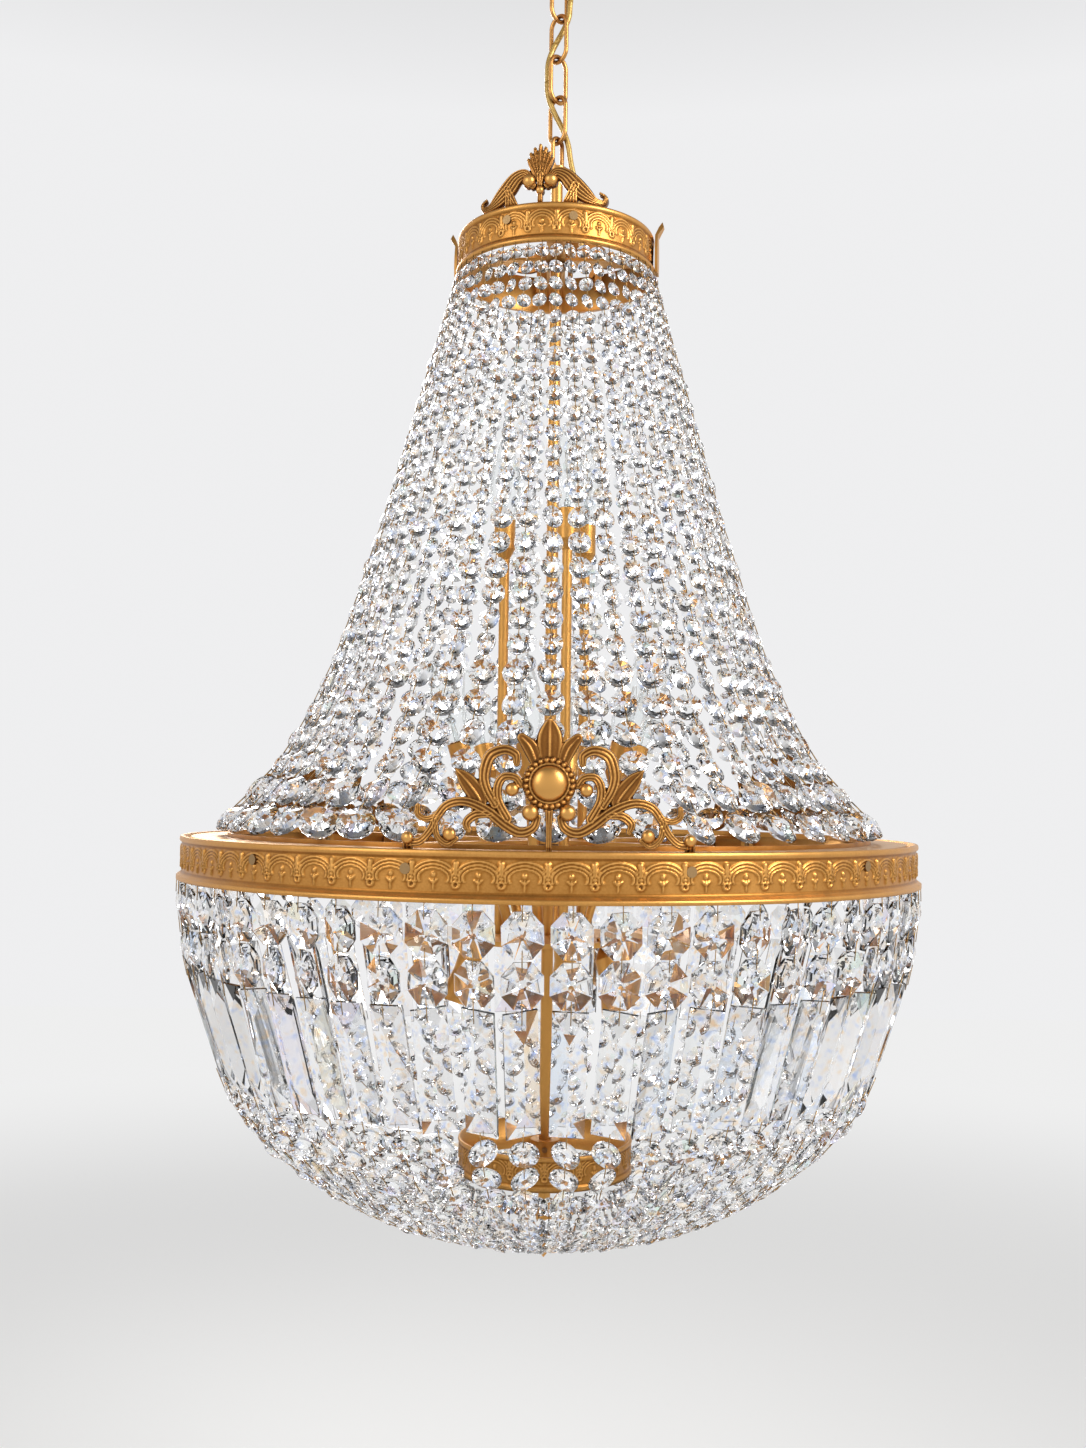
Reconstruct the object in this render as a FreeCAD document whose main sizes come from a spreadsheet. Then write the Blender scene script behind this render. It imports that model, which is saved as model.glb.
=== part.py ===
import FreeCAD, Part
import math
import os
import re
import Sketcher
from FreeCAD import Matrix, Placement, Rotation, Vector

os.makedirs("parts", exist_ok=True)
doc = FreeCAD.newDocument("chandelier")

# Driving dimensions in millimetres, or degrees where a name ends in _deg. The part hangs from the ceiling
# plane at height 0, so every level is worked out downwards from there.
SIZES = {
    # ceiling fitting
    "strap_length": 104, "strap_width": 20, "strap_thick": 3, "strap_screw_spacing": 80,
    "strap_screw_radius": 2.5, "nipple_radius": 5,
    "canopy_radius": 60, "canopy_depth": 42, "canopy_wall": 1.2, "canopy_neck_radius": 26,
    "canopy_ceiling_gap": 0.4, "loop_collar_radius": 12, "loop_collar_height": 4,
    "hook_wire": 4.5, "hook_width": 24, "hook_length": 30,
    "terminal_length": 24, "terminal_width": 12, "terminal_height": 10, "terminal_offset": 30,
    # chain and stem
    "chain_wire": 3.8, "link_length": 44, "link_width": 22, "running_gap": 0.3,
    "eye_wire": 3.8, "eye_width": 15, "eye_length": 30, "boss_radius": 8.4, "boss_height": 9,
    "stem_radius": 5, "stem_bore_radius": 3.5, "stem_tail": 36.2,
    # supply cable
    "cable_diameter": 4.8, "outlet_offset": 19, "gland_offset": 22, "gland_radius": 5.5,
    "gland_height": 7, "gland_flange": 1.6,
    # crown ring, measured down from the top of the stem eye
    "crown_drop": 93.8, "crown_radius": 84, "crown_wall": 2.4, "crown_height": 32,
    "crown_rim": 1.6, "crown_bar_width": 16, "crown_bar_thick": 2.5, "crown_bar_level": 16,
    "crown_turn_deg": 9.7, "crown_crest_thick": 4,
    "side_leaf_rise": 13, "side_leaf_width": 16, "side_leaf_thick": 2.4,
    # main ring
    "main_drop": 603.3, "main_radius": 300, "main_wall": 3, "main_height": 33.4, "main_rim": 1.5,
    "main_flange": 2.5, "crest_thick": 5, "crest_spread_deg": 128, "crest_tab_drop": 19,
    "shelf_width": 29.5, "shelf_wall": 1.5, "shelf_lip": 3, "shelf_side_gap": 0.5,
    "spoke_width": 14, "spoke_thick": 3, "spoke_tab": 12, "spoke_turn_deg": 47.7,
    "hub_radius": 20,
    # fasteners, and the clearance around every shank and tube that passes through a hole
    "screw_radius": 2, "screw_length": 6, "screw_head_radius": 3.6, "screw_head": 1.6,
    "nut_radius": 9, "nut_height": 5, "hole_gap": 0.1,
    # lamps, with their plate measured down from the top of the main ring
    "lamp_plate_depth": 81.7, "lamp_plate_radius": 72, "lamp_plate_thick": 4, "tube_radius": 4.2,
    "tube_tail": 8, "tall_reach": 42, "tall_turn_deg": -103, "tall_length": 318,
    "mid_reach": 31, "mid_tilt_deg": 17, "mid_turn_deg": -73, "mid_length": 133,
    "down_reach": 62, "down_tilt_deg": 19, "down_length": 50, "down_mouth_radius": 14,
    "cup_wall": 1, "cup_neck_radius": 9.6,
    "holder_radius": 9, "holder_wall": 0.8, "holder_length": 34, "holder_taper": 9,
    "socket_wall": 1.1, "socket_floor": 2, "cap_radius": 6.8, "cap_length": 18,
    "bulb_radius": 14, "bulb_length": 70, "bulb_tip_radius": 4.5, "small_bulb_radius": 7.6,
    "small_bulb_length": 14, "bulb_lift": 0.6,
    # crystals
    "tent_strands": 24, "tent_slope": 0.27, "tent_flare": 62, "tent_hook_inset": 1.2,
    "tent_land_inset": 12, "crystal_gap": 0.5, "thin_ratio": 0.5,
    "basket_strands": 60, "basket_turn_deg": 3, "basket_bead_step": 2, "hook_drop": 3.8, "hook_thick": 1.2,
    "octagon_height": 31.2, "octagon_width": 26, "octagon_thick": 12, "octagon_row_inset": 4,
    "prism_length": 92, "prism_width": 23, "prism_thick": 8, "prism_bevel": 4,
    "prism_inset": 29, "belly_drop": 116, "belly_radius": 95,
    # bottom ring, measured down from the top of the main ring, and finial
    "bottom_depth": 247.5, "bottom_radius": 72, "bottom_wall": 2, "bottom_height": 27,
    "bottom_rim": 1.2, "bottom_bar_width": 14, "bottom_bar_thick": 2.5, "collar_radius": 12,
    "collar_height": 22, "finial_radius": 11, "finial_length": 36, "finial_neck_radius": 6,
    "finial_gap": 0.3,
}
CHAIN_LINKS = 4
TALL_LAMPS, MID_LAMPS, DOWN_LAMPS = 3, 6, 3
SPOKES = 4

# Crystals of one hanging strand, top to bottom: how many, and the length of strand that each takes.
TENT_CRYSTALS = (("small", 5, 16.5), ("medium", 9, 18.5), ("large", 9, 25.5))
BASKET_BEADS = ((3, 23.0), (6, 18.5), (3, 15.5))

sheet = doc.addObject("Spreadsheet::Sheet", "Sizes")
for row, (alias, value) in enumerate(SIZES.items(), start=1):
    sheet.set(f"A{row}", alias)
    sheet.set(f"B{row}", str(value))
    sheet.setAlias(f"B{row}", alias)
doc.recompute()


def bound(text):
    """An expression in which each driving dimension's name points at its cell."""
    return re.sub(r"[a-z]\w+", lambda m: "Sizes." + m.group() if m.group() in SIZES else m.group(), text)


def size(text):
    """The present value of an expression of driving dimensions."""
    value = sheet.evalExpression(bound(text))
    return float(getattr(value, "Value", value))


# Levels, all as expressions of the driving dimensions
HOOK_WIRE_LEVEL = "(-canopy_depth - loop_collar_height - hook_length + hook_wire / 2)"
FIRST_LINK = f"({HOOK_WIRE_LEVEL} + hook_wire / 2 + running_gap + chain_wire - link_length / 2)"
LINK_PITCH = "(link_length - 2 * chain_wire - running_gap)"
LAST_LINK_WIRE = (
    f"({FIRST_LINK} - {CHAIN_LINKS - 1} * {LINK_PITCH} - link_length / 2 + chain_wire / 2)"
)
HANG = f"({LAST_LINK_WIRE} + chain_wire / 2 + running_gap + eye_wire)"
STEM_TOP = f"({HANG} - eye_length - boss_height)"
CROWN_TOP = f"({HANG} - crown_drop)"
CROWN_BOTTOM = f"({CROWN_TOP} - crown_height)"
CROWN_BAR = f"({CROWN_TOP} - crown_bar_level)"
MAIN_TOP = f"({HANG} - main_drop)"
MAIN_BOTTOM = f"({MAIN_TOP} - main_height)"
SHELF_TOP = f"({MAIN_TOP} - 0.5)"
SPOKE_TOP = f"({SHELF_TOP} - shelf_wall)"
LAMP_PLATE_TOP = f"({MAIN_TOP} - lamp_plate_depth)"
BOTTOM_TOP = f"({MAIN_TOP} - bottom_depth)"
BOTTOM_LOW = f"({BOTTOM_TOP} - bottom_height)"
STEM_LOW = f"({BOTTOM_LOW} - stem_tail)"
STEM_LENGTH = f"({STEM_TOP} - {STEM_LOW})"
MAIN_INNER = "(main_radius - main_wall)"
SHELF_OUTER = f"({MAIN_INNER} - crest_thick - shelf_side_gap)"
SHELF_INNER = f"({SHELF_OUTER} - shelf_width)"
CROWN_INNER = "(crown_radius - crown_wall)"

subparts = {}


def keep(obj, label):
    """Names a finished sub-part after its node."""
    obj.Label = label
    subparts[label] = obj
    return obj


def bind(obj, **expressions):
    """Ties an object's properties to the driving dimensions. Two underscores stand for a dot."""
    for name, text in expressions.items():
        obj.setExpression(name.replace("__", "."), bound(str(text)))
    return obj


def cylinder(name, radius, height, x=0, y=0, z=0):
    """An upright cylinder with its base centre at x, y, z."""
    obj = doc.addObject("Part::Cylinder", name)
    return bind(obj, Radius=radius, Height=height, Placement__Base__x=x, Placement__Base__y=y,
                Placement__Base__z=z)


def block(name, length, width, height, x=0, y=0, z=0):
    """An upright block, centred on x and y, with its base at z."""
    obj = doc.addObject("Part::Box", name)
    return bind(obj, Length=length, Width=width, Height=height, Placement__Base__x=f"{x} - {length} / 2",
                Placement__Base__y=f"{y} - {width} / 2", Placement__Base__z=z)


def fused(name, pieces):
    obj = doc.addObject("Part::MultiFuse", name)
    obj.Shapes = pieces
    return obj


def cut(name, base, tool):
    obj = doc.addObject("Part::Cut", name)
    obj.Base, obj.Tool = base, tool
    return obj


def solid_of(name, shape, placement=None):
    """A sub-part whose shape is worked out in this file, with its placement set after its shape."""
    obj = doc.addObject("Part::Feature", name)
    obj.Shape = shape
    if placement is not None:
        obj.Placement = placement
    return obj


def outline(body, name, corners, role="XZ_Plane"):
    """A closed sketch on an origin plane of its body. Each corner is two expressions; a third one is the
    radius of the arc that leads to the next corner, and its sign is the side to which the arc bulges."""
    sketch = body.newObject("Sketcher::SketchObject", name)
    plane = next(f for f in body.Origin.OriginFeatures if f.Role == role)
    sketch.AttachmentSupport = [(plane, "")]
    sketch.MapMode = "FlatFace"
    spots = [Vector(size(c[0]), size(c[1]), 0) for c in corners]
    ends = []
    for i, corner in enumerate(corners):
        a, b = spots[i], spots[(i + 1) % len(spots)]
        if len(corner) == 2:
            edge = sketch.addGeometry(Part.LineSegment(a, b), False)
        else:
            edge = sketch.addGeometry(Part.Arc(a, arc_middle(a, b, size(corner[2])), b), False)
        at_start = (sketch.getPoint(edge, 1) - a).Length < (sketch.getPoint(edge, 2) - a).Length
        ends.append((edge, 1, 2) if at_start else (edge, 2, 1))
    for i, corner in enumerate(corners):
        edge, start, end = ends[i]
        following = ends[(i + 1) % len(ends)]
        sketch.addConstraint(Sketcher.Constraint("Coincident", edge, end, following[0], following[1]))
        for kind, value, text in (("DistanceX", spots[i].x, corner[0]), ("DistanceY", spots[i].y, corner[1])):
            index = sketch.addConstraint(Sketcher.Constraint(kind, -1, 1, edge, start, value))
            sketch.setExpression(f"Constraints[{index}]", bound(text))
        if len(corner) == 3:
            index = sketch.addConstraint(Sketcher.Constraint("Radius", edge, abs(size(corner[2]))))
            sketch.setExpression(f"Constraints[{index}]", bound(f"abs({corner[2]})"))
    return sketch


def arc_middle(a, b, radius):
    """The middle of the arc of a given radius from a to b, bulging to the left where the radius is positive."""
    chord = b - a
    left = Vector(-chord.y, chord.x, 0).normalize()
    rise = abs(radius) - math.sqrt(radius * radius - chord.Length ** 2 / 4)
    return (a + b) * 0.5 + left * math.copysign(rise, radius)


def turned(name, corners, level="0"):
    """A body turned about the upright axis from one closed outline of radius and height."""
    body = doc.addObject("PartDesign::Body", name)
    sketch = outline(body, name + "_outline", corners)
    turn = body.newObject("PartDesign::Revolution", name + "_turn")
    turn.Profile = sketch
    turn.ReferenceAxis = (sketch, ["V_Axis"])
    turn.Angle = 360
    return bind(body, Placement__Base__z=level)


def oval_ring(name, wire, width, length):
    """An upright ring of round wire in the XZ plane: two half tori joined by two straight legs."""
    radius = f"(({width} - {wire}) / 2)"
    straight = f"({length} - {width})"
    pieces = []
    for side in (1, -1):
        leg = cylinder(f"{name}_leg{side + 1}", f"{wire} / 2", straight, x=f"{side} * {radius}",
                       z=f"-{straight} / 2")
        bend = doc.addObject("Part::Torus", f"{name}_bend{side + 1}")
        bind(bend, Radius1=radius, Radius2=f"{wire} / 2", Placement__Base__z=f"{side} * {straight} / 2")
        bend.Angle3 = 180
        bend.Placement.Rotation = Rotation(Vector(1, 0, 0), 90 * side)
        pieces += [leg, bend]
    return fused(name, pieces)


def stand(obj, level, turn_deg=0):
    """Sets a piece at its level, turned about the upright axis."""
    obj.Placement = Placement(Vector(0, 0, 0), Rotation(Vector(0, 0, 1), turn_deg))
    return bind(obj, Placement__Base__z=level)


# Around the ring, an azimuth of 0 faces the viewer at -Y and grows to the right.
def around(azimuth_deg, radius, level):
    angle = math.radians(azimuth_deg)
    return Vector(radius * math.sin(angle), -radius * math.cos(angle), level)


def leaning(azimuth_deg, radius, level, tilt_deg):
    """A placement whose Z axis leans outwards by the tilt, at a place around the axis."""
    return Placement(around(azimuth_deg, radius, level),
                     Rotation(Vector(0, 0, 1), azimuth_deg) * Rotation(Vector(1, 0, 0), tilt_deg))


def shifted(placement, distance):
    """A placement moved along its own Z axis."""
    return placement.multiply(Placement(Vector(0, 0, distance), Rotation()))


def copies(shape, placements):
    """One compound of moved copies of a shape."""
    return Part.makeCompound([shape.transformed(p.toMatrix(), True) for p in placements])


# ---- Ceiling fitting

def ceiling_strap():
    """Flat steel strap with two screw holes and a threaded middle hole."""
    bar = block("strap_bar", "strap_length", "strap_width", "strap_thick", z="-strap_thick")
    holes = [cylinder("strap_middle", "nipple_radius", "strap_thick", z="-strap_thick")]
    for side in (1, -1):
        holes.append(cylinder(f"strap_hole{side + 1}", "strap_screw_radius", "strap_thick",
                              x=f"{side} * strap_screw_spacing / 2", z="-strap_thick"))
    keep(cut("ceiling_strap", bar, fused("strap_holes", holes)), "ceiling_strap")


def canopy():
    """Spun dome with an open top, hung under the ceiling on the threaded nipple."""
    depth = "(canopy_depth - canopy_ceiling_gap)"
    shoulder = f"({depth} * 0.8)"
    bend = "(canopy_radius * 0.8)"
    body = turned("canopy", [
        ("nipple_radius", "0"), ("canopy_neck_radius", "0", f"-{bend}"),
        ("canopy_radius", shoulder), ("canopy_radius", depth),
        ("canopy_radius - canopy_wall", depth),
        ("canopy_radius - canopy_wall", shoulder, f"{bend} - canopy_wall"),
        ("canopy_neck_radius", "canopy_wall"), ("nipple_radius", "canopy_wall"),
    ], "-canopy_depth")
    hole = cylinder("outlet_hole", "gland_radius - gland_flange", "canopy_wall", x="outlet_offset",
                    z="-canopy_depth")
    keep(cut("canopy_shell", body, hole), "canopy")


def canopy_nipple():
    """Threaded tube from the strap through the canopy into the loop's collar."""
    length = "(canopy_depth + loop_collar_height / 2)"
    tube = cylinder("nipple_tube", "nipple_radius", length, z=f"-{length}")
    bore = cylinder("nipple_bore", "stem_bore_radius", length, z=f"-{length}")
    keep(cut("canopy_nipple", tube, bore), "canopy_nipple")


def canopy_loop():
    """Screw collar that holds the canopy up, with the loop that carries the chain."""
    ring = oval_ring("hook_ring", "hook_wire", "hook_width", "hook_length")
    stand(ring, "-canopy_depth - loop_collar_height - hook_length / 2", 45 + 90)
    collar = cylinder("hook_collar", "loop_collar_radius", "loop_collar_height + hook_wire",
                      z="-canopy_depth - loop_collar_height - hook_wire")
    bore = cylinder("hook_bore", "nipple_radius", "loop_collar_height / 2",
                    z="-canopy_depth - loop_collar_height / 2")
    keep(cut("canopy_loop", fused("hook_body", [ring, collar]), bore), "canopy_loop")


def terminal_block():
    """Wire terminal under the strap, beside the nipple."""
    box = block("terminal_body", "terminal_width", "terminal_length", "terminal_height",
                x="-terminal_offset", z="-strap_thick - terminal_height")
    holes = [cylinder(f"terminal_screw{i}", "terminal_width / 8", "terminal_height / 2",
                      x="-terminal_offset", y=f"{i} * terminal_length / 3",
                      z="-strap_thick - terminal_height") for i in (-1, 0, 1)]
    keep(cut("terminal_block", box, fused("terminal_screws", holes)), "terminal_block")


# ---- Chain, stem and cable

def chain_links():
    """Oval links of round wire, each turned a quarter from the one above."""
    for i in range(CHAIN_LINKS):
        ring = oval_ring(f"link_ring_{i + 1}", "chain_wire", "link_width", "link_length")
        stand(ring, f"{FIRST_LINK} - {i} * {LINK_PITCH}", 45 + 90 * (i % 2))
        keep(ring, f"chain_link_{i + 1}")


def stem_eye():
    """Eye that the last link carries, with the boss that the stem screws into."""
    ring = oval_ring("eye_ring", "eye_wire", "eye_width", "eye_length")
    stand(ring, f"{HANG} - eye_length / 2", 45 + 90 * (CHAIN_LINKS % 2))
    boss = cylinder("eye_boss", "boss_radius", "boss_height + eye_wire / 3",
                    z=f"{HANG} - eye_length - boss_height")
    keep(fused("stem_eye", [ring, boss]), "stem_eye")


def stem():
    """Centre tube from the eye's boss down to the finial."""
    tube = cylinder("stem_tube", "stem_radius", STEM_LENGTH, z=STEM_LOW)
    bore = cylinder("stem_bore", "stem_bore_radius", STEM_LENGTH, z=STEM_LOW)
    keep(cut("stem", tube, bore), "stem")


def cable_points():
    """The supply cable's route: out of the canopy, through two links, and down beside the stem."""
    top, gland = size("-canopy_depth - gland_flange"), size(f"{CROWN_BAR} + gland_height")
    outlet, inlet = size("outlet_offset"), size("gland_offset")
    return [
        Vector(outlet, 0, top), Vector(outlet, 0, -56), Vector(11.5, 0.5, -76), Vector(9.2, 0, -94),
        Vector(8.8, 0.3, -109), Vector(-8.8, -0.3, -141), Vector(-9.6, 0, -160), Vector(-8.9, 0.2, -180.5),
        Vector(8.9, -0.2, -213.5), Vector(11.5, 0.5, -236), Vector(18, 1.2, -258),
        Vector(inlet, 0, -276), Vector(inlet, 0, gland),
    ]


def rounded_path(points):
    """Straight runs joined by tangent arcs, each as large as its two runs allow."""
    edges, start = [], points[0]
    for before, corner, after in zip(points, points[1:], points[2:]):
        back, ahead = before - corner, after - corner
        reach = 0.45 * min(back.Length, ahead.Length)
        turn = math.pi - back.getAngle(ahead)
        radius = reach / math.tan(turn / 2)
        print(f"cable bend radius {radius:.0f} mm")
        a = corner + back.normalize() * reach
        b = corner + ahead.normalize() * reach
        inward = (back + ahead).normalize()
        middle = corner + inward * (radius / math.cos(turn / 2) - radius)
        edges += [Part.LineSegment(start, a).toShape(), Part.Arc(a, middle, b).toShape()]
        start = b
    edges.append(Part.LineSegment(start, points[-1]).toShape())
    return Part.Wire(edges)


def supply_cable():
    """Round cable along its route, one swept tube."""
    path = rounded_path(cable_points())
    radius = size("cable_diameter / 2")
    heading = cable_points()[1] - cable_points()[0]
    ring = Part.Wire([Part.Circle(cable_points()[0], heading, radius).toShape()])
    tube = path.makePipeShell([ring], True, False)
    section = math.pi * radius ** 2
    print(f"cable length {path.Length:.0f} mm, volume over section times length "
          f"{tube.Volume / (section * path.Length):.3f}")
    keep(solid_of("supply_cable", tube), "supply_cable")


def cable_fittings():
    """Outlet bush under the canopy and gland on the crown's cross bar."""
    flange = cylinder("outlet_flange", "gland_radius", "gland_flange", x="outlet_offset",
                      z="-canopy_depth - gland_flange")
    core = cylinder("outlet_core", "gland_radius - gland_flange", "canopy_wall + gland_flange",
                    x="outlet_offset", z="-canopy_depth")
    keep(fused("cable_outlet", [flange, core]), "cable_outlet")
    foot = cylinder("gland_foot", "gland_radius + gland_flange", "gland_flange", x="gland_offset",
                    z=CROWN_BAR)
    neck = cylinder("gland_neck", "gland_radius", "gland_height", x="gland_offset", z=CROWN_BAR)
    keep(fused("cable_gland", [foot, neck]), "cable_gland")


# ---- Rings

def ring_band(name, radius, wall, rim, height, flange, level):
    """A turned band: rolled rim above, plain panel, and a stepped flange below."""
    inner = f"({radius} - {wall})"
    panel = f"({radius} - {rim})"
    return turned(name, [
        (inner, "0"), (f"{radius} + {flange}", "0"), (f"{radius} + {flange}", f"{height} * 0.09"),
        (radius, f"{height} * 0.14"), (panel, f"{height} * 0.19"), (panel, f"{height} * 0.85"),
        (radius, f"{height} * 0.89"), (radius, f"{height}"), (inner, f"{height}"),
    ], level)


def cross_bars(name, reach, width, thick, level, count, turn_deg, extra=()):
    """Flat bars across a ring, with a clear hole for the stem."""
    bars = []
    for i in range(count):
        bar = block(f"{name}_bar{i}", f"2 * {reach}", width, thick)
        bars.append(stand_turned(bar, level, f"2 * {reach}", width, turn_deg + 180 / count * i))
    bore = cylinder(f"{name}_bore", "stem_radius", f"{thick} * 12", z=f"{level} - {thick} * 2")
    return cut(name, fused(name + "_bars", bars + list(extra)), bore)


def stand_turned(bar, level, length, width, turn_deg):
    """Turns a centred block about the upright axis, keeping its middle on the axis."""
    c, s = math.cos(math.radians(turn_deg)), math.sin(math.radians(turn_deg))
    bar.Placement = Placement(Vector(0, 0, 0), Rotation(Vector(0, 0, 1), turn_deg))
    return bind(bar, Placement__Base__x=f"-({length}) / 2 * {c} + {width} / 2 * {s}",
                Placement__Base__y=f"-({length}) / 2 * {s} - {width} / 2 * {c}", Placement__Base__z=level)


def crown():
    """Small upper ring with its cross bar."""
    band = ring_band("crown_ring", "crown_radius", "crown_wall", "crown_rim", "crown_height", "crown_rim",
                     CROWN_BOTTOM)
    keep(cut("crown_band", band, screw_holes("crown_holes", crown_screws())), "crown_band")
    reach = f"sqrt({CROWN_INNER}^2 - (crown_bar_width / 2)^2)"
    bars = cross_bars("crown_spider", reach, "crown_bar_width", "crown_bar_thick",
                      f"({CROWN_BAR} - crown_bar_thick)", 2, 0)
    keep(bars, "crown_spider")


def main_ring():
    """Large ring, and the shelf inside it that the upper strands land on."""
    band = ring_band("main_ring", "main_radius", "main_wall", "main_rim", "main_height", "main_flange",
                     MAIN_BOTTOM)
    holes = screw_holes("main_holes", main_crest_screws() + spoke_screws())
    keep(cut("main_band", band, holes), "main_band")
    lip = f"({SHELF_INNER} + shelf_wall)"
    keep(turned("main_shelf", [
        (SHELF_INNER, "0"), (SHELF_OUTER, "0"), (SHELF_OUTER, "shelf_wall"), (lip, "shelf_wall"),
        (lip, "shelf_wall + shelf_lip"), (SHELF_INNER, "shelf_wall + shelf_lip"),
    ], f"{SHELF_TOP} - shelf_wall"), "main_shelf")


def main_spider():
    """Round hub with four flat spokes, each turned down at its end against the band. Where a lamp's tube
    crosses a spoke, it passes through a hole."""
    body = doc.addObject("PartDesign::Body", "main_spider")
    plate = outline(body, "plate_outline", [
        ("stem_radius", "0"), ("hub_radius", "0"), ("hub_radius", "spoke_thick"),
        ("stem_radius", "spoke_thick")])
    hub = body.newObject("PartDesign::Revolution", "plate_turn")
    hub.Profile = plate
    hub.ReferenceAxis = (plate, ["V_Axis"])
    hub.Angle = 360
    reach = f"({MAIN_INNER} - 0.2)"
    arm = outline(body, "spoke_outline", [
        ("hub_radius / 2", "0"), (f"{reach} - spoke_thick", "0"),
        (f"{reach} - spoke_thick", "-spoke_tab"), (reach, "-spoke_tab"), (reach, "spoke_thick"),
        ("hub_radius / 2", "spoke_thick")])
    spoke = body.newObject("PartDesign::Pad", "spoke_pad")
    spoke.Profile = arm
    spoke.Midplane = True
    bind(spoke, Length="spoke_width")
    doc.recompute()
    around_stem = body.newObject("PartDesign::PolarPattern", "spoke_pattern")
    around_stem.Originals = [spoke]
    around_stem.Axis = (plate, ["V_Axis"])
    around_stem.Angle = 360
    around_stem.Occurrences = SPOKES
    body.Tip = around_stem
    stand(body, f"{SPOKE_TOP} - spoke_thick", size("spoke_turn_deg") - 90)
    tall_feet, mid_feet, _ = lamp_places()
    tubes = solid_of("spoke_tube_holes", hole_tools(tall_feet + mid_feet))
    pierced = cut("spider_pierced", body, tubes)
    keep(cut("spider", pierced, screw_holes("spoke_holes", spoke_screws())), "main_spider")


# ---- Crests: openwork scrolls, drawn flat as they are seen from the front and then curved with their ring

def stroke(points):
    """A scroll's outline: a curve through left and right offsets of its middle line. Each point is x, height
    and half width."""
    left, right = [], []
    for i, (x, z, half) in enumerate(points):
        a = points[max(i - 1, 0)]
        b = points[min(i + 1, len(points) - 1)]
        run = math.hypot(b[0] - a[0], b[1] - a[1])
        nx, nz = -(b[1] - a[1]) / run, (b[0] - a[0]) / run
        left.append(Vector(x + nx * half, 0, z + nz * half))
        right.append(Vector(x - nx * half, 0, z - nz * half))
    edges = []
    for side in (left, right[::-1]):
        curve = Part.BSplineCurve()
        curve.interpolate(side)
        edges.append(curve.toShape())
    edges.insert(1, Part.LineSegment(left[-1], right[-1]).toShape())
    edges.append(Part.LineSegment(right[0], left[0]).toShape())
    return Part.Face(Part.Wire(edges))


def leaf(base, tip, half):
    """A pointed leaf: two arcs from its base to its tip."""
    a, b = Vector(base[0], 0, base[1]), Vector(tip[0], 0, tip[1])
    across = Vector(-(b.z - a.z), 0, b.x - a.x).normalize() * half
    middle = (a + b) * 0.5
    return Part.Face(Part.Wire([Part.Arc(a, middle + across, b).toShape(),
                                Part.Arc(b, middle - across, a).toShape()]))


def disc(x, z, radius):
    return Part.Face(Part.Wire([Part.Circle(Vector(x, 0, z), Vector(0, -1, 0), radius).toShape()]))


def mirrored(points):
    return [(-x, z, half) for x, z, half in points]


def crest(faces, balls, radius, thick, low, high, screw_x, screw_z):
    """The flat outlines pushed through a curved plate, with round bosses on its front face and a screw hole
    in each of its two tabs."""
    depth = 3 * thick + size("main_radius") * 0.1
    blanks = [f.extrude(Vector(0, -depth, 0)) for f in faces]
    for blank in blanks:
        blank.translate(Vector(0, -(radius - depth + thick), 0))
    height = high - low
    base = Vector(0, 0, low)
    plate = Part.makeCylinder(radius, height, base).cut(Part.makeCylinder(radius - thick, height, base))
    flat = blanks[0].multiFuse(blanks[1:])
    openwork = plate.common(flat)
    rounds = []
    for x, z, ball in balls:
        y = -math.sqrt((radius - thick / 2) ** 2 - x * x)
        rounds.append(Part.makeSphere(ball, Vector(x, y, z)))
    outside = Part.makeCylinder(radius - thick, height, base)
    rounds = [r.cut(outside) for r in rounds]
    half = math.degrees(math.asin(screw_x / radius))
    holes = hole_compound([(a, radius, screw_z) for a in (half, -half)])
    return openwork.multiFuse(rounds).removeSplitter().cut(holes)


# The main crest's right half, in millimetres from its centre and from the top of the band
BIG_SCROLL = [(20.8, 55, 2.2), (21.5, 60.5, 3), (28.5, 63.6, 3.4), (37.5, 59.5, 3.8), (41.2, 48, 3.6),
              (39.5, 38.5, 3.2), (34, 29, 3)]
SMALL_SCROLL = [(18, 41.5, 2.4), (21.5, 46, 2.6), (28.5, 46.5, 2.8), (32.5, 40.5, 3), (32, 31, 3), (26, 20, 3)]
LONG_SCROLL = [(7.4, 21, 2.6), (10, 14.5, 3), (18, 11.6, 3.4), (27, 15.8, 3.6), (40, 25.5, 3.4),
               (53, 30.6, 3.2), (64, 28.6, 3), (70.5, 21.5, 2.8), (75.5, 12, 2.6), (82, 5.2, 2.6), (89, 4.2, 2.8)]
END_CURL = [(71, 21.5, 2), (78, 19.2, 2.2), (83.4, 22, 2.2), (83.6, 27.4, 1.8)]
INNER_CURL = [(72.5, 19, 2), (71, 9, 2.2), (64.5, 3.6, 2.2), (58.6, 7.2, 1.8)]
HANGING_LEAF = [(37, 22.5, 2), (46, 22.4, 3), (52, 17.4, 2.8), (50.4, 12, 1.6)]
SIDE_LOBE = [(8.5, 55.5, 3.6), (12.4, 65, 4.8), (17.6, 71.2, 3.2)]
MAIN_BALLS = [(23.4, 38.5, 4.4), (11.8, 24.2, 5.4), (62.9, 9.9, 4.4), (90.2, 7.2, 4.2)]
BOSS = (0, 42.6, 17)
BOSS_DOME = (0, 42.6, 11.3)


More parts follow.
